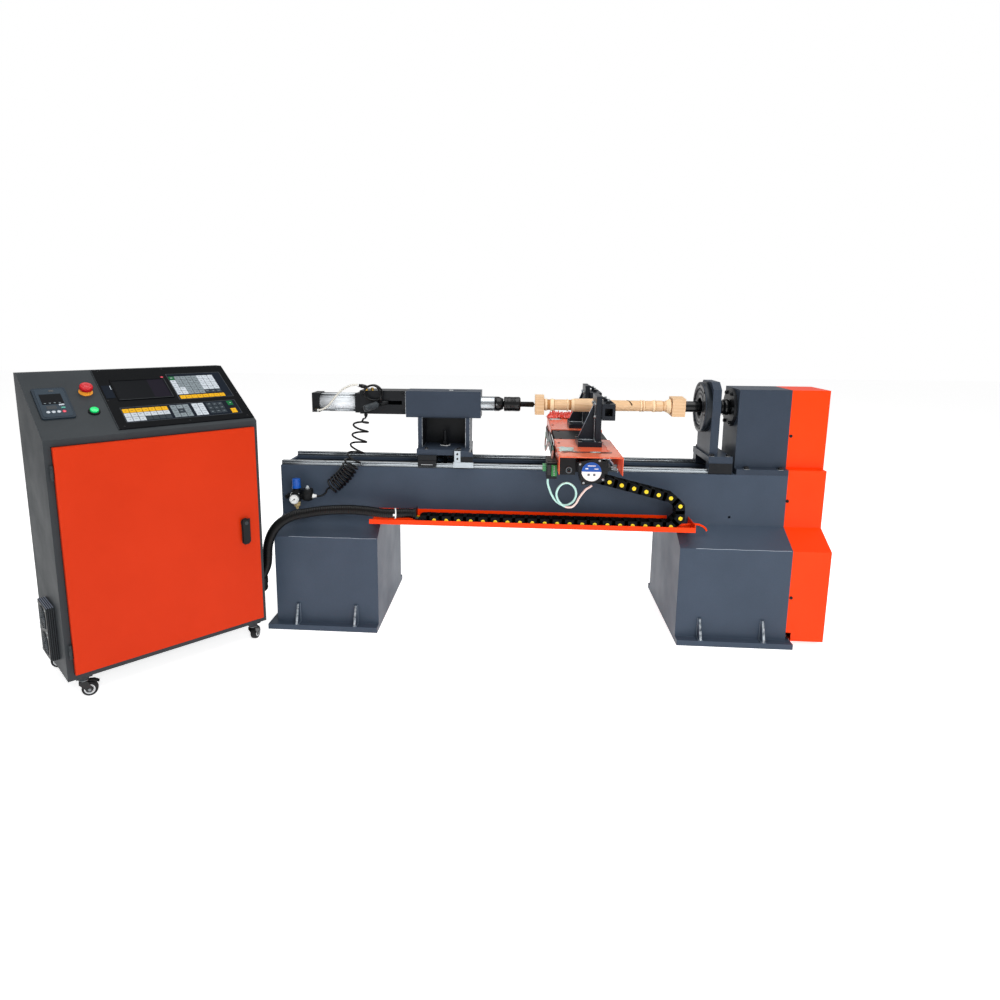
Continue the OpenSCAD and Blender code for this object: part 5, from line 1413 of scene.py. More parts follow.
    def driver(self) -> None:
        """Adds the driver's terminals, plugs and fastened wires."""
        box = Span.of("driver_box")
        front = box.low[1]
        parts = Shape()
        parts.block((1091, front - 9, 696), (1109.5, front, 735), GREEN_BLOCK)
        for z in range(700, 733, 6):
            parts.cap_screw((1100, front - 9, z), FRONT, 2.2, 0.8, ZINC)
        parts.block((1076, front - 6, 700), (1089, front, 736), GLOSS_BLACK)
        parts.block((1062, -250, 704), (box.low[0], -204, 724), GREEN_PALE)
        for y in range(-246, -206, 8):
            parts.block((1061.4, y, 707), (1062.1, y + 4.5, 713), BRASS)
        parts.blocks(BLACK_PLASTIC, (1078, -262, 742, 1106, -190, 743.4), (1074.5, front - 0.6, 737, 1108,
                                                                           front, 741.5))
        parts.block((1102, 556, 692), (1112, 592, 716), GREEN_BLOCK)
        parts.make("driver_terminals", "cross_slide", "driver_grey", 0.5)
        harness = Shape()
        harness.blocks(BLACK_PLASTIC, (1104, -185, 702, 1110, 600, 742), (1104, -14, 742, 1110, 264, 770))
        for shift, finish in ((0, WIRE_BROWN), (6.2, WIRE_TEAL), (-6, WIRE_PINK)):
            route = ([(1095, -205 + shift, 742), (1098, -190 + shift, 758), (1103, -110, 756 + shift),
                 (1105, 20, 748 + shift), (1104, 150, 742 + shift), (1102, 300, 712 + shift),
                 (1101, 420, 668 + shift), (1100, 500, 650 + shift), (1101, 560 + shift, 664),
                 (1104, 584 + shift, 690), (1106, 576 + shift, 700)])
            harness.swept(smooth_path(route, 90), 3.4, finish, 8)
        for y, z in ((-60, 753), (340, 701)):
            harness.block((1098, y - 4, z - 10), (1112, y + 4, z + 12), BLACK_PLASTIC)
        harness.make("driver_wiring", "cross_slide", "driver_grey")

    def build(self) -> None:
        """Dresses the carriage and adds its pieces."""
        dress(HOOD, "hoods")
        dress(TABLE, "slide_table")
        dress(BLACK_OXIDE, "saddle", "carriage_guides")
        dress(GROUND_Y, "cross_rails", "cross_screw")
        dress(BLACK_PAINT, "cross_motor", "driver_box")
        self.films()
        self.hood_screws()
        self.motor()
        self.bracket()
        self.driver()


@dataclass
class ToolPosts:
    """Both welded tool posts with their bolts, beads and cutters."""

    mirror_y: float = 129
    base_left: float = 1192
    base_top: float = 799
    plate_x: Pair = (1256, 1276)
    plate_y: Pair = (-155, -25)
    plate_top: float = 967
    gusset_y: Pair = (-115, -105)
    holder_x: float = 1300

    def post(self, way: int) -> Shape:
        """The fasteners, beads and painted highlight of one post.

        Args:
            way: 1 for the front post, -1 for its mirror image at the back.

        Returns:
            The shape.
        """
        def y(value: float) -> float:
            """The front post's y, or its mirror image."""
            return value if way > 0 else 2 * self.mirror_y - value

        post, top = Shape(), self.base_top
        for x in (1200, 1272):
            for at in (-155, -42):
                post.washer((x, y(at), top), 9.5, 8.6, sides=20)
                post.hex_bolt((x, y(at), top + 0.6), UP, 14.4, BLACK_OXIDE)
        for at, z in ((-135, 936), (-135, 889), (-60, 936), (-60, 889)):
            post.cap_screw((self.plate_x[0], y(at), z), LEFT, 6, 6.5, ZINC)
        for at in (-135, -55):
            post.hex_bolt((self.holder_x, y(at), 940), UP, 15, BLACK_OXIDE)
            post.turned((self.holder_x, y(at), 940), UP, [(0, 4.5), (17, 4.5), (18, 3.6)], ZINC, 16)
        x0, x1 = 1198, self.plate_x[0]
        for face in self.gusset_y:
            post.weld((x0, y(face), top + 0.5), (x1, y(face), top + 0.5), WELD_DARK, 2.6)
            post.weld((x1, y(face), top), (x1, y(face), self.plate_top - 22), WELD_DARK, 2.6)
        for x in self.plate_x:
            post.weld((x, y(self.plate_y[0]), top + 0.5), (x, y(self.plate_y[1]), top + 0.5), WELD_DARK, 2.8)
        post.weld((self.plate_x[1], y(-165), 880), (self.plate_x[1], y(-5), 880), WELD_DARK, 2.4)
        # Painted highlight along the gusset's sloped edge.
        mid = y(sum(self.gusset_y) / 2)
        post.swept([(self.base_left + 6, mid, 812), (self.plate_x[0], mid, 946)], 1.6, PALE_METAL_AND_HIGHLIGHT, 6)
        return post

    def build(self) -> None:
        """Dresses the posts and adds the fasteners."""
        dress(POST, "tool_posts")
        dress(BLACK_OXIDE, "cutters")
        self.post(1).make("front_post_fasteners", "cross_slide", "casting_grey")
        self.post(-1).make("rear_post_fasteners", "cross_slide", "casting_grey")
        for name, y in (("rear_post_rib", 365), ("front_post_rib", -117)):
            rib = Shape()
            rib.plate([(967, 1276), (940, 1324), (934, 1324), (956, 1276)], y, y + 10, POST, 1)
            rib.make(name, "cross_slide", "casting_grey", 0.6)


# --- tailstock
@dataclass
class Tailstock:
    """The tailstock's housing, clamp, quill, live centre, cylinder and hand valve."""

    axis: Pair = (120, 903)
    tail: float = 511
    base_top: float = 727
    end_half: float = 40
    rod_offset: float = 32

    def clamp(self) -> None:
        """Adds the aluminium angle, the base screws, the washer and the slot's insert."""
        parts = Shape()
        parts.blocks(ALUMINIUM, (717.5, -13, 681, 742.5, -9.8, 731), (717.5, -13, 727, 742.5, 16, 731),
                     (714, -15, 659, 794, -9.8, 681))
        for z in (695, 714):
            parts.turned((730, -13, z), FRONT, [(0, 4.4), (0.4, 4.4), (0.4, 0)], GLOSS_BLACK, 18, False)
        parts.cap_screw((730, 4, 731), UP, 5, 5, BLACK_OXIDE)
        parts.make("clamp_angle", "tailstock", "cylinder_aluminium", 0.7)
        screws = Shape()
        for x in (601, 735):
            for y in (21, 219):
                screws.washer((x, y, self.base_top), 9.5, 8.6, 1, sides=20)
                screws.cap_screw((x, y, self.base_top + 0.6), UP, 6.5, 7, BLACK_OXIDE)
        screws.washer((667, 120, self.base_top), 21, 19, 1.6, WHITE_PLASTIC, 28)
        for z in range(748, 784, 3):
            screws.turned((667, 120, z), UP, [(0, 8), (0.7, 8.5), (1.4, 8)], BLACK_OXIDE, 18)
        for x0, x1 in ((582, 629), (731, 761)):
            screws.block((x0, -1.8, 665), (x1, -0.9, 667.5), ZINC)
        screws.make("tailstock_screws", "tailstock", "clamp_black")
        # Painted shade: thin black sheets on the inner faces of the window between the legs, where only shade
        # falls; the last block is a dark plate on the face right of the clamp's angle.
        window_shade = Shape()
        window_shade.blocks(
            BLACK_PAINT, (579.2, 56, 727.2, 580, 173, 848.6), (755.9, 56, 727.2, 756.8, 173, 848.6),
            (580, 173.6, 727.2, 755.9, 174.8, 848.6), (580, 56, 847.8, 755.9, 173.6, 848.8),
            (719.5, -10.9, 658.5, 791.8, -10.1, 703.5))
        window_shade.make("tailstock_window_shade_and_dark_plate", "tailstock", "clamp_black")
        insert = Shape()
        insert.block((683, 114.2, 950.2), (700, 125.8, 957.8), WHITE_PLASTIC)
        insert.block((640, 115, 950.2), (676, 125, 953), BLACK_OXIDE)
        insert.cap_screw((625, 120, 950), UP, 4, 4, ZINC)
        insert.make("quill_key", "tailstock", "casting_grey", 0.4)

    def beads(self) -> None:
        """Lays the beads along the legs."""
        bead = Shape()
        for x in (562, 579, 757, 774):
            for y in (55, 185):
                bead.weld((x, y, 728), (x, y, 848), WELD_DARK, 1.2)
            bead.weld((x, 56, 849), (x, 184, 849), WELD_DARK, 1.6)
            bead.weld((x, 56, 727.5), (x, 184, 727.5), WELD_DARK, 1.6)
        bead.make("tailstock_weld_beads", "tailstock", "casting_grey")

    def quill(self) -> None:
        """Turns the quill with its blackened collar, and the live centre."""
        y, z = self.axis
        x0 = self.tail
        quill = Shape()
        quill.turned((0, y, z), RIGHT, [(x0 - 254, 31.9), (x0 - 234, 31.9), (x0 - 234, 10), (x0 + 129, 10)],
                     GLOSS_BLACK, 56)
        quill.turned((0, y, z), RIGHT, [(x0 + 129, 30.3), (x0 + 360, 30.3), (x0 + 361, 29.6)], TURNED, 56)
        quill.turned((0, y, z), RIGHT, [(x0 + 361, 30.3), (x0 + 378, 30.3), (x0 + 388, 26), (x0 + 396, 22.4),
                                        (x0 + 397, 21), (x0 + 397, 12.1), (x0 + 350, 12.1)], GLOSS_BLACK, 56)
        for turn in (-90, 30, 150):
            a = math.radians(turn)
            side = (0, math.sin(a), math.cos(a))
            quill.turned((x0 + 370, y + 29.9 * side[1], z + 29.9 * side[2]), side,
                         [(0, 3.2), (0.4, 3.2), (0.4, 1.8), (0.1, 0)], ZINC, 14, False)
        quill.make("quill_and_collar", "quill", "quill_steel", node="quill")
        x1 = x0 + 397
        centre = Shape()
        grooves = []
        for k in range(10):
            at = x1 + 30 + k * 1.7
            grooves += [(at, 30), (at + 0.5, 29.5), (at + 1.1, 29.5), (at + 1.6, 30)]
        centre.turned((0, y, z), RIGHT,
                      [(x1 - 48, 12), (x1 + 2, 12), (x1 + 2, 27), (x1 + 4, 30), (x1 + 14, 30),
                       (x1 + 15, 29.2), (x1 + 17, 29.2), (x1 + 18, 30)] + grooves
                      + [(x1 + 64, 30), (x1 + 67, 28.6), (x1 + 70, 24), (x1 + 70, 13),
                         (x1 + 72, 11), (x1 + 122.7, 11), (x1 + 128.7, 0.3)], GLOSS_BLACK, 56)
        centre.make("live_center_body", "live_center", "center_steel", node="live_center")

    def cylinder(self) -> None:
        """Builds the air cylinder: black end blocks, a bright barrel and four tie rods."""
        y, z = self.axis
        rear, front, half = self.tail - 396, self.tail - 170, self.end_half
        body = Shape()
        for x0, x1 in ((rear, rear + 31), (front - 44, front - 22)):
            body.block((x0, y - half, z - half), (x1, y + half, z + half), BLACK_PAINT)
        body.make("cylinder_end_blocks", "tailstock", "cylinder_aluminium", 0.5, node="air_cylinder")
        barrel = Shape()
        barrel.turned((0, y, z), RIGHT, [(rear + 31, 36), (front - 44, 36)], TUBE, 72)
        barrel.turned((0, y, z), RIGHT, [(front - 22, 18), (front - 4, 18), (front - 3, 17)], ALUMINIUM, 36)
        for dy in (-self.rod_offset, self.rod_offset):
            for dz in (-self.rod_offset, self.rod_offset):
                barrel.turned((0, y + dy, z + dz), RIGHT, [(rear + 31, 4), (front - 44, 4)], TURNED, 16)
                barrel.turned((rear, y + dy, z + dz), LEFT, [(0, 4.4), (0.8, 4.4)], BLACK_OXIDE, 6, False)
        barrel.make("cylinder_barrel", "tailstock", "cylinder_aluminium", node="air_cylinder")

    def valve(self) -> None:
        """Turns the hand valve's grooved sleeve."""
        sleeve = Shape(VALVE)
        ribs = []
        for k in range(9):
            at = 22 + k * 3.4
            ribs += [(at, 14), (at + 1, 13.2), (at + 2.2, 13.2), (at + 3, 14)]
        sleeve.turned((0, 0, 0), UP, [(14, 7.2), (14, 12), (16, 14)] + ribs
                      + [(71, 14), (73, 13.4), (73, 11.2), (74.6, 10.8), (74.6, 9.6), (76, 9.2),
                         (76, 4.2), (70, 4), (70, 0.2)], DARK_PLASTIC, 40)
        sleeve.turned((0, 0, 73.2), UP, [(0, 13.2), (0.8, 12.8), (0.8, 10.8)], TURNED_DARK, 40)
        sleeve.make("valve_grip", "valve_sleeve", "valve_black", node="valve_sleeve")

    def bracket(self) -> None:
        """Adds the bracket's screws and edge beads."""
        parts = Shape()
        for x, z in ((330, 876), (330, 940), (498, 872), (498, 946)):
            parts.cap_screw((x, 72, z), FRONT, 5.5, 5, BLACK_OXIDE)
            parts.cap_screw((x, 168, z), BACK, 5.5, 5, BLACK_OXIDE)
        parts.weld((509, 71.5, 861), (509, 71.5, 955), WELD_DARK, 1.8)
        parts.swept([(345, 50, 860), (345, 49.6, 860.5)], 5, BLACK_OXIDE, 6)
        parts.turned((346, 60, 860.5), DOWN, [(0, 8), (6, 8), (6, 6), (12, 6)], BLACK_OXIDE, 6, False)
        parts.make("bracket_screws", "tailstock", "bracket_black")

    def build(self) -> None:
        """Dresses the tailstock and adds its pieces."""
        dress(SLATE_DARK, "tailstock_frame")
        dress(BLACK_OXIDE, "cylinder_bracket", "clamp_hardware")
        self.clamp()
        self.beads()
        self.quill()
        self.cylinder()
        self.valve()
        self.bracket()


# --- steady and work
@dataclass
class SteadyRest:
    """The steady rest: a plate with cut corners, a dark bearing ring and its seat screws."""

    plate_x: float = 1722
    axis: Pair = (120, 903)
    bolt_circle: float = 88
    seat_top: float = 722

    def build(self) -> None:
        """Dresses the steady and adds the ring's faces, screws and seat details."""
        dress(SLATE_DARK, "steady_frame")
        dress(RING_STEEL, "steady_ring")
        y, z = self.axis
        face = Shape()
        front = self.plate_x - 26
        face.turned((0, y, z), RIGHT,
                    [(front + 25.6, 99), (front + 2, 76.6), (front - 0.3, 77), (front - 0.3, 97.5),
                     (front + 2, 100.3), (front + 25.6, 100.3)], RING_STEEL, 96)
        for place in on_circle(y, z, self.bolt_circle, range(15, 360, 60)):
            face.cap_screw((front - 0.3, *place), LEFT, 4.5, 1.6, BLACK_OXIDE)
        face.make("steady_ring_face", "steady", "casting_grey")
        rim = Shape()
        inner = front + 2
        rim.turned(
            (0, y, z), RIGHT, [(inner + 3, 37.2), (inner - 0.5, 38.5), (inner - 0.5, 56), (inner + 0.4, 57),
                               (inner + 0.4, 60), (inner - 0.5, 61), (inner - 0.5, 72.4), (inner + 3, 73.8)],
            RING_STEEL, 96)
        rim.make("steady_ring_lip", "steady_ring", "ring_steel")
        screws = Shape()
        for x in (self.plate_x + 8, self.plate_x + 68):
            for sy in (12, 228):
                screws.washer((x, sy, self.seat_top), 11, 10)
                screws.cap_screw((x, sy, self.seat_top + 0.6), UP, 8, 8.5, BLACK_OXIDE)
        screws.block((1717, -1.8, 655), (1805, -0.9, 695), BLACK_PAINT)
        screws.make("steady_screws", "steady", "clamp_black")


@dataclass
class Workpiece:
    """The turned blank between square ends."""

    left: float = 1037
    side: float = 72
    block: float = 37
    right: float = 1635
    right_block: float = 52
    axis: Pair = (120, 903)
    outline: tuple = (
        (0, 22), (0.0098, 24.4), (0.022, 25), (0.026, 22), (0.049, 21.4), (0.051, 24.4), (0.064, 25.2),
        (0.078, 24), (0.084, 22), (0.18, 22.2), (0.184, 24.6), (0.192, 24.6), (0.196, 21.6), (0.214, 21.6),
        (0.219, 23.6), (0.242, 26.8), (0.4065, 27.2), (0.55, 22), (0.757, 21.6), (0.761, 24), (0.7725, 24),
        (0.775, 21.4), (0.782, 21.4), (0.784, 23.4), (0.793, 23.2), (0.799, 21.4), (0.85, 21.4),
        (0.862, 23.8), (0.874, 24.2), (0.886, 22.6), (0.93, 22.8), (0.936, 20.6), (0.955, 21.4),
        (0.965, 24), (0.99, 30.5), (1, 30.5))
    fillet_depth: float = 1.3
    fillet_width: float = 0.0022
    skin: float = 0.16
    fillets: Row = (0.0975, 0.2, 0.214, 0.774, 0.796, 0.88, 0.942, 0.951, 0.997)
    # Painted light: rings a little proud of the wood, with shade in the grooves and highlights on the beads,
    # each from one share of the length to another.
    bands: tuple = (
        (0.001, 0.006, WOOD_SHADE), (0.0098, 0.022, WOOD_PALE), (0.026, 0.048, WOOD_SHADE),
        (0.051, 0.078, WOOD_PALE), (0.0805, 0.084, WOOD_SHADE), (0.184, 0.192, WOOD_PALE),
        (0.2, 0.216, WOOD_SHADE), (0.22, 0.24, WOOD_PALE), (0.761, 0.771, WOOD_PALE),
        (0.774, 0.7785, WOOD_SHADE), (0.784, 0.7915, WOOD_PALE), (0.7945, 0.798, WOOD_SHADE),
        (0.856, 0.8725, WOOD_PALE), (0.876, 0.882, WOOD_SHADE), (0.9365, 0.944, WOOD_SHADE),
        (0.963, 0.992, WOOD_PALE), (0.994, 0.9995, WOOD_SHADE))

    def radius(self, share: np.ndarray) -> np.ndarray:
        """The turned radius: the outline's straight runs, with a narrow groove at each fillet.

        Args:
            share: Share of the turned length.

        Returns:
            The radius at each share.
        """
        knots = np.array(self.outline, float)
        radius = np.interp(share, knots[:, 0], knots[:, 1])
        for at in self.fillets:
            radius = radius - self.fillet_depth * np.exp(-((share - at) / self.fillet_width) ** 2)
        return radius

    def build(self) -> None:
        """Turns the blank, squares its ends, paints shade in its grooves and highlights on its beads, and
        draws the dark tool mark.
        """
        y, z = self.axis
        x0, x1 = self.left + self.block, self.right - self.right_block
        share = np.linspace(0, 1, 420)
        radius = self.radius(share)
        wood = Shape()
        profile = np.stack([x0 + share * (x1 - x0), radius], 1)
        wood.turned((0, y, z), RIGHT, profile.tolist(), Wood(), 64)
        half = self.side / 2
        tilt = LATHE.moved((0, y, z)).turned(0, 4)
        ends = Shape(tilt)
        for low, high in ((self.left, x0), (x1, self.right)):
            outline = [(half, half), (-half, half), (-half, -half), (half, -half)]
            ends.plate(outline, low, high, Wood(), 0)
        wood.absorb(ends)
        wood.make("turned_blank", "spindle", "turned_wood", 0.7, node="workpiece")
        # Painted shade in the grooves and painted highlights on the beads.
        bands = Shape()
        for start, end, tone in self.bands:
            part = np.linspace(start, end, 9)
            line = np.stack([x0 + part * (x1 - x0), self.radius(part) + self.skin], 1).tolist()
            rim = [(line[-1][0], line[-1][1] - 1), (line[0][0], line[0][1] - 1), line[0]]
            bands.turned((0, y, z), RIGHT, line + [tuple(k) for k in rim], tone, 64)
        bands.make("painted_light_on_beads_and_grooves", "spindle", "turned_wood")
        t = np.linspace(0, 1, 24)
        x = 1405 + 22 * t ** 0.8
        r = self.radius((x - x0) / (x1 - x0)) + 0.1
        a = np.radians(100 - 92 * t)
        path = np.stack([x, y - r * np.cos(a), z + r * np.sin(a)], 1)
        width = 0.5 + 3.2 * t * np.sqrt(np.clip(1 - t ** 8, 0, 1))
        mark = Shape().swept(path, width, WOOD_MARK, 8)
        mark.make("dark_tool_mark", "spindle", "turned_wood")


# --- air unit
@dataclass
class AirUnit:
    """The filter and regulator on the bed's front: gauge, ribbed knob, drain and dome."""

    place: Triple = (83, -60, 540)
    gauge_z: float = 532
    gauge_face: float = -94
    gauge_radius: float = 20
    bowl_x: float = 128
    bowl_ribs: int = 10
    knob_z: Pair = (572.3, 610)
    knob_flutes: int = 24

    def gauge(self) -> None:
        """Builds the gauge: a rim, a white dial with ticks, and a black pointer."""
        x, y, z = self.place[0], self.gauge_face, self.gauge_z
        r = self.gauge_radius
        dial = Shape(LATHE.moved((x, y, z)))
        dial.turned((0, 14, 0), FRONT, [(0, r - 1), (12.4, r - 1), (13, r - 1.2), (13.8, r),
                                        (14.4, r - 0.6), (14.5, r - 1.6), (13.2, r - 2.2)], ZINC, 48)
        dial.turned((0, 1, 0), FRONT, [(0, r - 1.8), (0.4, r - 1.8)], WHITE_PLASTIC, 48, False)
        for turn in range(-135, 136, 15):
            w, inner = (0.45, 0.62) if turn % 45 == 0 else (0.25, 0.7)
            spot = Shape(dial.datum.turned(1, turn))
            spot.block((-w, 0.3, r * inner), (w, 0.6, r * 0.82), GLOSS_BLACK)
            dial.absorb(spot)
        hand = Shape(dial.datum.turned(1, -122))
        hand.plate(
            [(r * 0.62, 0), (-3.2, 1.5), (-6, 1.5), (-6, -1.5), (-3.2, -1.5)], -0.1, 0.3, GLOSS_BLACK, 1)
        hand.turned((0, 0.5, 0), FRONT, [(0, 2.4), (1.2, 2.2), (1.4, 1.4)], GLOSS_BLACK, 16)
        dial.absorb(hand)
        dial.make("pressure_gauge", "machine", "air_unit_black", node="air_unit")

    def body(self) -> None:
        """Builds the regulator's body, the filter's bowl and the fittings."""
        x, y, z = self.place
        body = Shape()
        body.blocks(
            BLACK_PLASTIC, (x - 17, y - 19, z - 20, x + 17, y + 19, z + 22), (x + 17, y - 7.5, z - 8,
                                                                              x + 24, y + 7.5, z + 8),
            (x - 13, y + 19, z - 6, x + 13, y + 60, z + 8))
        body.make("regulator_body", "machine", "air_unit_black", 1.8, node="air_unit")
        parts = Shape()
        parts.turned((x, y, z + 21), UP, [(0, 16), (3, 16), (4, 15), (10, 15)], BLACK_PLASTIC, 36)
        parts.turned(
            (x, y, z - 20), DOWN, [(0, 15), (2, 15), (3, 13.6), (19, 13.6), (24, 11), (25, 7), (34, 6)],
            DRAIN_BOWL, 32)
        b = self.bowl_x
        parts.turned(
            (b, y, z - 18), UP, [(0, 15), (3, 19.5), (8, 22.4), (20, 23), (44, 23), (46, 22), (47, 21)],
            BLACK_PLASTIC, 44)
        parts.turned((b, y, z + 28), UP, [(0, 9.5), (9, 6.5), (14, 3), (15, 0.6)], SMOKED_DOME, 36)
        parts.turned((b, y, z + 26), UP, [(0, 21), (3, 18), (3.2, 9)], BLACK_PLASTIC, 36)
        for k in range(self.bowl_ribs):
            rib = Shape(LATHE.moved((b, y, z - 8)).turned(2, k * 360 / self.bowl_ribs))
            rib.block((22.2, -1.6, 0), (23.4, 1.6, 32), BLACK_PLASTIC)
            parts.absorb(rib)
        parts.turned(
            (148, y, z), RIGHT, [(0, 9), (4, 9), (4.5, 7.2), (11, 6.4), (17, 4.6)], WHITE_PLASTIC, 24)
        for dx, dz in ((-19, 20), (20, 16), (20, -9)):
            parts.pan_screw((x + dx * 0.75, y - 19, z + dz * 0.8), FRONT, 2.6, ZINC)
        parts.make("filter_and_drain", "machine", "air_unit_black", node="air_unit")
        inlet = Shape()
        inlet.turned((x - 17, y, z), LEFT, [(0, 8), (3, 8), (3.4, 6.9), (9, 6.9)], WHITE_PLASTIC, 24)
        inlet.turned((50, y + 8, z), FRONT,
                     [(0, 8.4), (1.5, 9), (26, 9), (30, 8.8), (32, 8.4), (32, 6.5), (21, 6.5),
                      (21, 0.1)], BLACK_PLASTIC, 28)
        inlet.make("inlet_elbow", "machine", "air_unit_black", node="air_unit")

    def knob(self) -> None:
        """Builds the regulator's knob: fluted, with a skirt that flares at its foot."""
        low, high = self.knob_z
        rows, sides = 26, 96
        t = np.linspace(0, 1, rows)
        turn = np.arange(sides) * 2 * math.pi / sides
        flare = 18 - 1.6 * np.clip((t - 0.1) / 0.14, 0, 1) - 2.2 * np.clip((t - 0.95) / 0.05, 0, 1) ** 2
        flute = np.clip((t - 0.26) / 0.05, 0, 1) * np.clip((0.9 - t) / 0.05, 0, 1)
        wave = 0.5 + 0.5 * np.cos(turn * self.knob_flutes)
        r = flare[:, None] - 0.9 * flute[:, None] * wave[None] ** 2
        grid = np.stack([self.place[0] + r * np.cos(turn), self.place[1] + r * np.sin(turn),
                         (low + t * (high - low))[:, None] + 0 * r], -1).reshape(-1, 3)
        knob = Shape().add(grid, grid_faces(rows, sides) + caps(rows, sides), BLUE_KNOB, True)
        knob.turned((self.place[0], self.place[1], 563), UP, [(0, 6), (10, 6)], ZINC, 24)
        knob.make("ribbed_regulator_knob", "regulator_knob", "knob_blue", node="regulator_knob")

    def build(self) -> None:
        """Builds the unit."""
        self.gauge()
        self.body()
        self.knob()


# --- console
@dataclass(frozen=True)
class KeyBlock:
    """A block of keys on the panel: its corner, counts, pitch, key size and row finishes."""

    corner: Pair
    count: tuple[int, int]
    pitch: Pair
    size: Pair
    rows: tuple[str, ...]


@dataclass
class Console:
    """The console: cabinet, door, latch, keypad, panel, buttons and fan box."""

    front_z: float = 867
    slope: float = 33.232
    width: float = 691.6
    panel: Row = (222, 17, 690, 343)
    panel_top: float = 4
    keypad_place: Pair = (20, 96)
    keypad_size: Pair = (98, 157)
    stop: Pair = (176, 226)
    start: Pair = (174.5, 120)
    latch: Pair = (617, 491)
    fan_t: float = 150
    fan_z: Pair = (164, 256)
    blocks: tuple[KeyBlock, ...] = (
        KeyBlock((464.5, 176), (5, 5), (20.8, 21.8), (19.4, 20.2),
                 ("wwggg", "wwggg", "wgggg", "wgggg", "Ggggg")),
        KeyBlock((568, 176), (3, 5), (21, 21.8), (19.4, 20.2),
                 ("ddd", "www", "www", "www", "www")),
        KeyBlock((467.5, 151), (8, 1), (20.9, 20), (19.6, 19), ("y" * 8,)),
        KeyBlock((256.5, 50.5), (7, 3), (21.3, 22.5), (19.8, 20.5),
                 ("wwwdddd", "wwwwwww", "yyyyyyy")),
        KeyBlock((414.5, 52), (3, 3), (22, 22.5), (20, 20.5), ("ggg", "gdg", "ggg")),
        KeyBlock((490.5, 53), (2, 3), (22, 22.5), (20.4, 21), ("ww", "ww", "ww")),
        KeyBlock((542, 56), (3, 3), (21, 21), (19, 19), ("ddd", "ddd", "ddd")),
        KeyBlock((621, 95), (1, 1), (21, 26), (20.5, 25), ("G",)),
        KeyBlock((620, 51), (1, 1), (21, 26), (20.5, 25), ("y",)))

    def on_slope(self) -> Datum:
        """The slope's frame, from its front left corner: x across, y up the slope, z out of it."""
        return CONSOLE.moved((0, 0, self.front_z)).turned(0, self.slope)

    def keys(self) -> None:
        """Builds the keys: soft blocks with a small raised legend field."""
        colours = {"w": KEY_WHITE, "g": KEY_GREY, "d": KEY_DARK, "y": KEY_YELLOW, "G": KEY_GREEN}
        legend = {"w": KEY_GREY, "g": KEY_DARK, "d": KEY_GREY, "y": KEY_INK, "G": KEY_WHITE}
        rng = np.random.default_rng(5)
        keys, marks = Shape(self.on_slope()), Shape(self.on_slope())
        low = self.panel_top
        for block in self.blocks:
            for row, letters in enumerate(block.rows):
                for column, letter in enumerate(letters):
                    s = block.corner[0] + column * block.pitch[0]
                    a = block.corner[1] + row * block.pitch[1]
                    w, h = block.size
                    keys.block((s, a, low - 0.5), (s + w, a + h, low + 1.5), colours[letter])
                    if letter == "d" and block.count[0] > 3:
                        continue
                    wide = rng.uniform(0.22, 0.5) * w
                    tall = rng.uniform(0.09, 0.16) * h
                    cx, cy = s + w * rng.uniform(0.42, 0.58), a + h * rng.uniform(0.45, 0.62)
                    marks.block((cx - wide / 2, cy - tall / 2, low + 1.4),
                                (cx + wide / 2, cy + tall / 2, low + 1.62), legend[letter])
        keys.make("panel_keys", "machine", "controller_face", 0.7)
        marks.make("panel_key_legends", "machine", "controller_face")

    def faceplate(self) -> None:
        """Builds the black faceplate with its screen, frames, slot cover, lamp and screws."""
        s0, a0, s1, a1 = self.panel
        top = self.panel_top
        plate = Shape(self.on_slope())
        plate.block((s0, a0, 0.02), (s1, a1, top), PANEL_BLACK)
        plate.make("panel_faceplate", "machine", "controller_face", 1.4, node="controller_panel")
        trim = Shape(self.on_slope())
        trim.block((s0 - 1.6, a0, 0.02), (s0, a1 - 1.5, top + 0.2), DARK_PLASTIC)
        w = 1.8
        for x0, y0, x1, y1 in ((461, 147, 664, 301), (253, 45, 656, 126)):
            trim.rim((x0, x1), (y0, y1), (top - 0.5, top + 0.45), w, DARK_PLASTIC)
            trim.block((x0 + w, y0 + w, top - 0.5), (x1 - w, y1 - w, top + 0.15), PANEL_FIELD)
        trim.rim((262, 448), (163, 279), (top - 0.5, top + 2.4), 6, PANEL_BLACK)
        trim.blocks(
            DARK_PLASTIC, (264, 165, top, 446, 166.2, top + 2.7), (444.6, 165, top, 446, 277, top + 2.7))
        trim.block((228, 180, top - 0.5), (258, 250, top + 1), PANEL_FIELD)
        trim.block((254.4, 226, top + 0.9), (256.6, 248, top + 1.3), KEY_WHITE)
        trim.turned((443, 283, top - 0.5), UP, [(0, 5), (1.6, 5), (2.6, 3.6), (3, 1)], LAMP_RED, 20)
        trim.make("panel_frames", "machine", "controller_face", 0.5)
        glass = Shape(self.on_slope())
        glass.block((268, 169, top - 0.5), (385, 273, top + 0.9), SCREEN)
        glass.block((385, 169, top - 0.5), (442, 273, top + 0.9), SCREEN_BLUE)
        glass.make("panel_screen", "machine", "controller_face")
        screws = Shape(self.on_slope())
        for s, a in ((241, 28), (456, 29), (668, 29), (241, 332), (456, 332), (668, 332),
                     (229, 166), (682, 166)):
            screws.pan_screw((s, a, top), UP, 3.4, BLACK_OXIDE)
        screws.make("panel_screws", "machine", "controller_face")

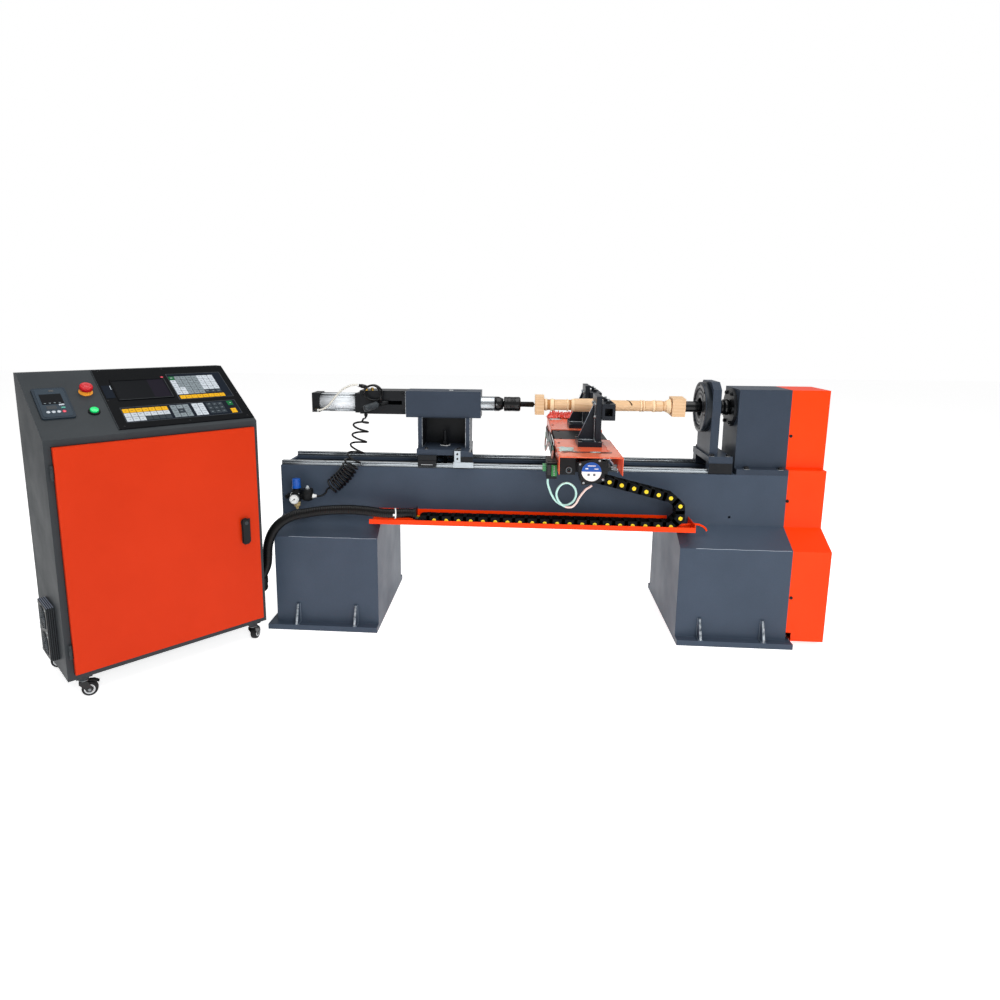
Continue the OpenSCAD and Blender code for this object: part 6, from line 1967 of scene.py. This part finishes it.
    def keypad(self) -> None:
        """Builds the inverter's keypad: a rounded bezel, a display and small round keys."""
        s0, a0 = self.keypad_place
        w, h = self.keypad_size
        corner, arc = 9, np.radians(np.linspace(0, 90, 7))
        outline = []
        for k, (cx, cy) in enumerate(((w - corner, h - corner), (corner, h - corner),
                                      (corner, corner), (w - corner, corner))):
            outline += [(s0 + cx + corner * math.cos(t + k * math.pi / 2),
                         a0 + cy + corner * math.sin(t + k * math.pi / 2)) for t in arc]
        bezel = Shape(self.on_slope())
        bezel.plate(outline, 0.02, 6, BEZEL, 2)
        inner = [
            (s0 + w / 2 + (x - s0 - w / 2) * 0.86, a0 + h / 2 + (y - a0 - h / 2) * 0.91) for x, y in outline]
        bezel.plate(inner, 5.8, 7, BEZEL_FACE, 2)
        bezel.make("inverter_bezel", "machine", "inverter_plastic", 1.2, node="inverter_keypad")
        face = Shape(self.on_slope())
        face.block((s0 + 16, a0 + 69, 6.5), (s0 + 78, a0 + 121, 8), SCREEN)
        face.block((s0 + 48, a0 + 134, 6.9), (s0 + 62, a0 + 143, 7.4), GLOSS_BLACK)
        for k in range(4):
            face.block((s0 + 21 + k * 14, a0 + 73, 7.9), (s0 + 27 + k * 14, a0 + 76, 8.2), KEY_GREY)
        face.block((s0 + 24, a0 + 44, 6.9), (s0 + 52, a0 + 62, 7.5), DARK_PLASTIC)
        face.block((s0 + 61, a0 + 61, 6.9), (s0 + 76, a0 + 67, 8.4), KEY_WHITE)
        face.block((s0 + 64, a0 + 46, 6.9), (s0 + 76, a0 + 52, 8.4), TEAL_KEY)
        for x, finish in ((24, KEY_WHITE), (39, KEY_WHITE), (54, KEY_WHITE), (69, LAMP_RED)):
            face.turned(
                (s0 + x, a0 + 30, 6.9), UP, [(0, 5.6), (1.2, 5.4), (1.7, 4.4), (1.8, 0.5)], finish, 20)
        face.make("inverter_face", "machine", "inverter_plastic", 0.4)

    def buttons(self) -> None:
        """Builds the emergency stop with its amber collar, and the green lamp button."""
        slope = self.on_slope()
        s, a = self.stop
        collar = Shape(slope)
        collar.turned((s, a, 0.02), UP, [(0, 21.5), (2.2, 21.5), (3, 20.5), (3, 16.5), (12, 15.6),
                                         (12, 9.5), (0, 9.5)], AMBER, 44)
        collar.make("stop_collar", "machine", "controller_face")
        stop = Shape(slope)
        stop.turned(
            (s, a, 0), UP, [(-26, 8), (11, 8), (11, 15), (13, 19), (16, 20.2), (21, 20.6), (25, 20.2),
                            (28, 18.4), (29.2, 16), (28.6, 13.5), (28, 12), (28.6, 8), (29, 0.4)],
            RED_PLASTIC, 56)
        stop.make("emergency_stop_button", "emergency_stop", "stop_red", node="emergency_stop")
        s, a = self.start
        ring = Shape(slope)
        ring.turned(
            (s, a, 0.02), UP, [(0, 18), (4.4, 18), (6.4, 16.4), (6.4, 13.8), (0, 13.8)], BLACK_PLASTIC, 44)
        ring.make("start_ring", "machine", "controller_face")
        lens = Shape(slope)
        lens.turned(
            (s, a, 0), UP, [(-14, 12.9), (9.5, 12.9), (10.6, 13.2), (11.4, 12.6), (12, 11), (12, 0.3)],
            GREEN_LENS, 44)
        lens.make("start_button_lens", "start_button", "start_green", node="start_button")

    def door_latch(self) -> None:
        """Builds the latch: a pointed plate, a grip and a lock cylinder."""
        s, z = self.latch
        plate = Shape(CONSOLE.moved((s, 0, z)))
        shape = [(15, -17), (15, 17), (-75, 17), (-84, 7), (-84, -7), (-75, -17)]
        plate.plate(shape, -27, -24, BLACK_PLASTIC, 1)
        plate.plate([(x * 0.96 - 1, y * 0.84) for x, y in shape], -33.5, -27, BLACK_PLASTIC, 1)
        plate.make("latch_plate", "door_latch", "latch_black", 1.6, node="door_latch")
        lock = Shape(CONSOLE.moved((s, 0, z)))
        lock.turned((0, -24, 0), BACK, [(0, 16), (7.6, 16), (7.6, 8), (23, 8)], BLACK_PLASTIC, 32)
        lock.turned((0, -33.4, 0), FRONT, [(0, 6.6), (0.5, 6.6), (0.6, 6), (0.4, 0.4)], DARK_PLASTIC, 24)
        lock.block((-0.8, -34.1, -4), (0.8, -33.7, 4), GLOSS_BLACK)
        lock.block((-8, -4.5, -8), (8, -1.5, 20), ZINC)
        lock.make("latch_lock", "door_latch", "latch_black", node="door_latch")

    def fan_box(self) -> None:
        """Adds the fan box's grooves, its grille wires and its screws."""
        t, (z0, z1) = self.fan_t, self.fan_z
        box = Shape(CONSOLE)
        top = z1 + 46
        for s in (-21.5, -15.5, -9.5, -3.5):
            box.block((s - 1.2, t - 59.5, top - 0.3), (s + 1.2, t + 59.5, top + 0.9), GROOVE)
            box.block((s - 1.2, t - 61, z0 - 45), (s + 1.2, t - 59.7, top), DARK_PLASTIC)
        for z in self.fan_z:
            for radius in range(8, 44, 6):
                a = np.linspace(0, 2 * math.pi, 49)[:-1]
                loop = np.stack([-26.4 + 0 * a, t + radius * np.cos(a), z + radius * np.sin(a)], 1)
                box.swept(loop, 1.1, WIRE_GUARD, 6, True)
            for turn in (45, 135, 225, 315):
                a = math.radians(turn)
                box.swept([(-25.6, t + 6 * math.cos(a), z + 6 * math.sin(a)),
                           (-25.6, t + 54 * math.cos(a), z + 54 * math.sin(a) * 0.78)], 1.3, WIRE_GUARD, 6)
            for y in (-50, 50):
                for h in (-38, 38):
                    box.pan_screw((-25, t + y, z + h), LEFT, 4.2, ZINC)
        box.make("fan_grilles", "machine", "fan_plastic")

    def trim(self) -> None:
        """Adds a painted shadow round the door's gap and the covers of the hinge knuckles."""
        # Painted shadow: thin black strips round the door's edge, where the gap between door and cabinet is
        # in shade.
        edge = Shape(CONSOLE)
        x0, x1, z0, z1 = 19, 676, 92, 847
        edge.blocks(RUBBER_AND_GAP_SHADOW, (x0, -0.4, z0, x1, 0.2, z0 + 2), (x0, -0.4, z1 - 2, x1, 0.2, z1),
                    (x0, -0.4, z0, x0 + 2, 0.2, z1), (x1 - 2, -0.4, z0, x1, 0.2, z1))
        edge.make("door_gap_shadow", "machine", "cabinet_grey")
        covers = Shape(CONSOLE)
        for z in (174, 765):
            covers.turned((*DOOR_PIN, z - 14.2), UP, [(0, 5.5), (28.4, 5.5)], CABINET, 20)
            covers.block((14.5, -6.6, z - 14.2), (20.9, -2.6, z + 14.2), CABINET)
        covers.make("hinge_knuckle_covers", "door", "latch_black")

    def build(self) -> None:
        """Dresses the cabinet and builds what is on it."""
        dress(CABINET, "console_shell")
        dress(DOOR_ORANGE, "door")
        dress(ZINC, "electrics_panel")
        dress(BLACK_PLASTIC, "fan_housings", "fan_rotor_1", "fan_rotor_2")
        self.faceplate()
        self.keys()
        self.keypad()
        self.buttons()
        self.door_latch()
        self.fan_box()
        self.trim()


@dataclass
class Casters:
    """Four swivel casters: black forks, dark tyres and pale hubs."""

    places: tuple[Pair, ...] = ((48, 16), (643.6, 16), (48, 287.3), (643.6, 287.3))
    turns: Row = (-20, 40, 160, 95)
    trail: float = 16
    radius: float = 25
    top: float = 72

    def wheel(self, number: int, datum: Datum) -> None:
        """One wheel: a rounded tyre and a glossy hub with a bright rim.

        Args:
            number: The castor's number.
            datum: The castor's frame, with its origin on the floor under the swivel.
        """
        r = self.radius
        wheel = Shape(datum.moved((self.trail, 0, r)))
        wheel.turned((0, -11, 0), BACK,
                     [(0.6, r * 0.62), (0, r * 0.66), (0, r * 0.88), (1.4, r * 0.95), (4, r - 0.3),
                      (8, r), (14, r), (18, r - 0.3), (20.6, r * 0.95), (22, r * 0.88),
                      (22, r * 0.66), (21.4, r * 0.62)], RUBBER_AND_GAP_SHADOW, 48)
        for way in (-1, 1):
            wheel.turned((0, way * 9.6, 0), (0, way, 0),
                         [(0, r * 0.66), (1.4, r * 0.66), (1.5, r * 0.56), (0.8, r * 0.54),
                          (0.8, r * 0.4)], HUB_RIM, 40)
            wheel.turned(
                (0, way * 9.6, 0), (0, way, 0), [(0.6, r * 0.5), (0.9, r * 0.4), (1.5, r * 0.2), (2.4, 4.4)],
                GLOSS_BLACK, 40)
        body = f"caster_wheel_{number}"
        wheel.make(f"caster_tyre_{number}", body, "caster_rubber", node=body)

    def fork(self, number: int, datum: Datum) -> None:
        """One fork: two pressed cheeks, a swivel race, a cap and an axle bolt.

        Args:
            number: The castor's number.
            datum: The castor's frame, with its origin on the floor under the swivel.
        """
        z = self.top - 16
        r, d = self.radius, self.trail
        cheek = [(z, -14), (z, 12), (r + 6, d + 9), (r - 2, d + 9), (r - 7, d + 4),
                 (r - 7, d - 4), (r - 3, d - 9), (z - 10, -14)]
        fork = Shape(datum)
        for way in (-1, 1):
            low, high = sorted((way * 13, way * 15.4))
            fork.plate(cheek, low, high, GLOSS_BLACK, 1)
        fork.block((-14, -15.4, z - 2), (12, 15.4, z + 0.5), GLOSS_BLACK)
        if number == 1:
            fork.plate([(54, 11), (52, 30), (44, 44), (46, 46), (55, 31), (57, 11)], -9, 9, GLOSS_BLACK, 1)
        body = f"caster_fork_{number}"
        fork.make(f"caster_cheeks_{number}", body, "caster_zinc", 0.9, node=body)
        race = Shape(datum)
        race.turned((0, 0, z), UP, [(0, 15), (1, 16), (3.2, 16), (3.4, 14)], ZINC_DARK, 36)
        race.turned((0, 0, z), UP, [(0, 5), (14, 5)], ZINC_DARK, 16)
        for way in (-1, 1):
            race.turned(
                (d, way * 15.4, r), (0, way, 0), [(0, 6), (0.3, 6), (2.4, 5), (2.6, 1)], ZINC_DARK, 6, False)
        race.make(f"caster_race_{number}", body, "caster_zinc", node=body)

    def build(self) -> None:
        """Builds the four casters."""
        for k, (place, turn) in enumerate(zip(self.places, self.turns)):
            datum = CONSOLE.moved((place[0], place[1], 0)).turned(2, turn)
            self.wheel(k + 1, datum)
            self.fork(k + 1, datum)


def main() -> None:
    """Builds the studio and every sub-assembly, and closes the scene."""
    logging.basicConfig(level=logging.INFO, format="%(message)s")
    assemblies = (
        Studio(), Conduit(), CoilHose(), MotorCable(), AirHoses(), DragChain(), BedAndPedestals(),
        Headstock(), Carriage(), ToolPosts(), Tailstock(), SteadyRest(), Workpiece(), AirUnit(), Console(),
        Casters())
    for assembly in assemblies:
        assembly.build()


if __name__ == "__main__":
    main()
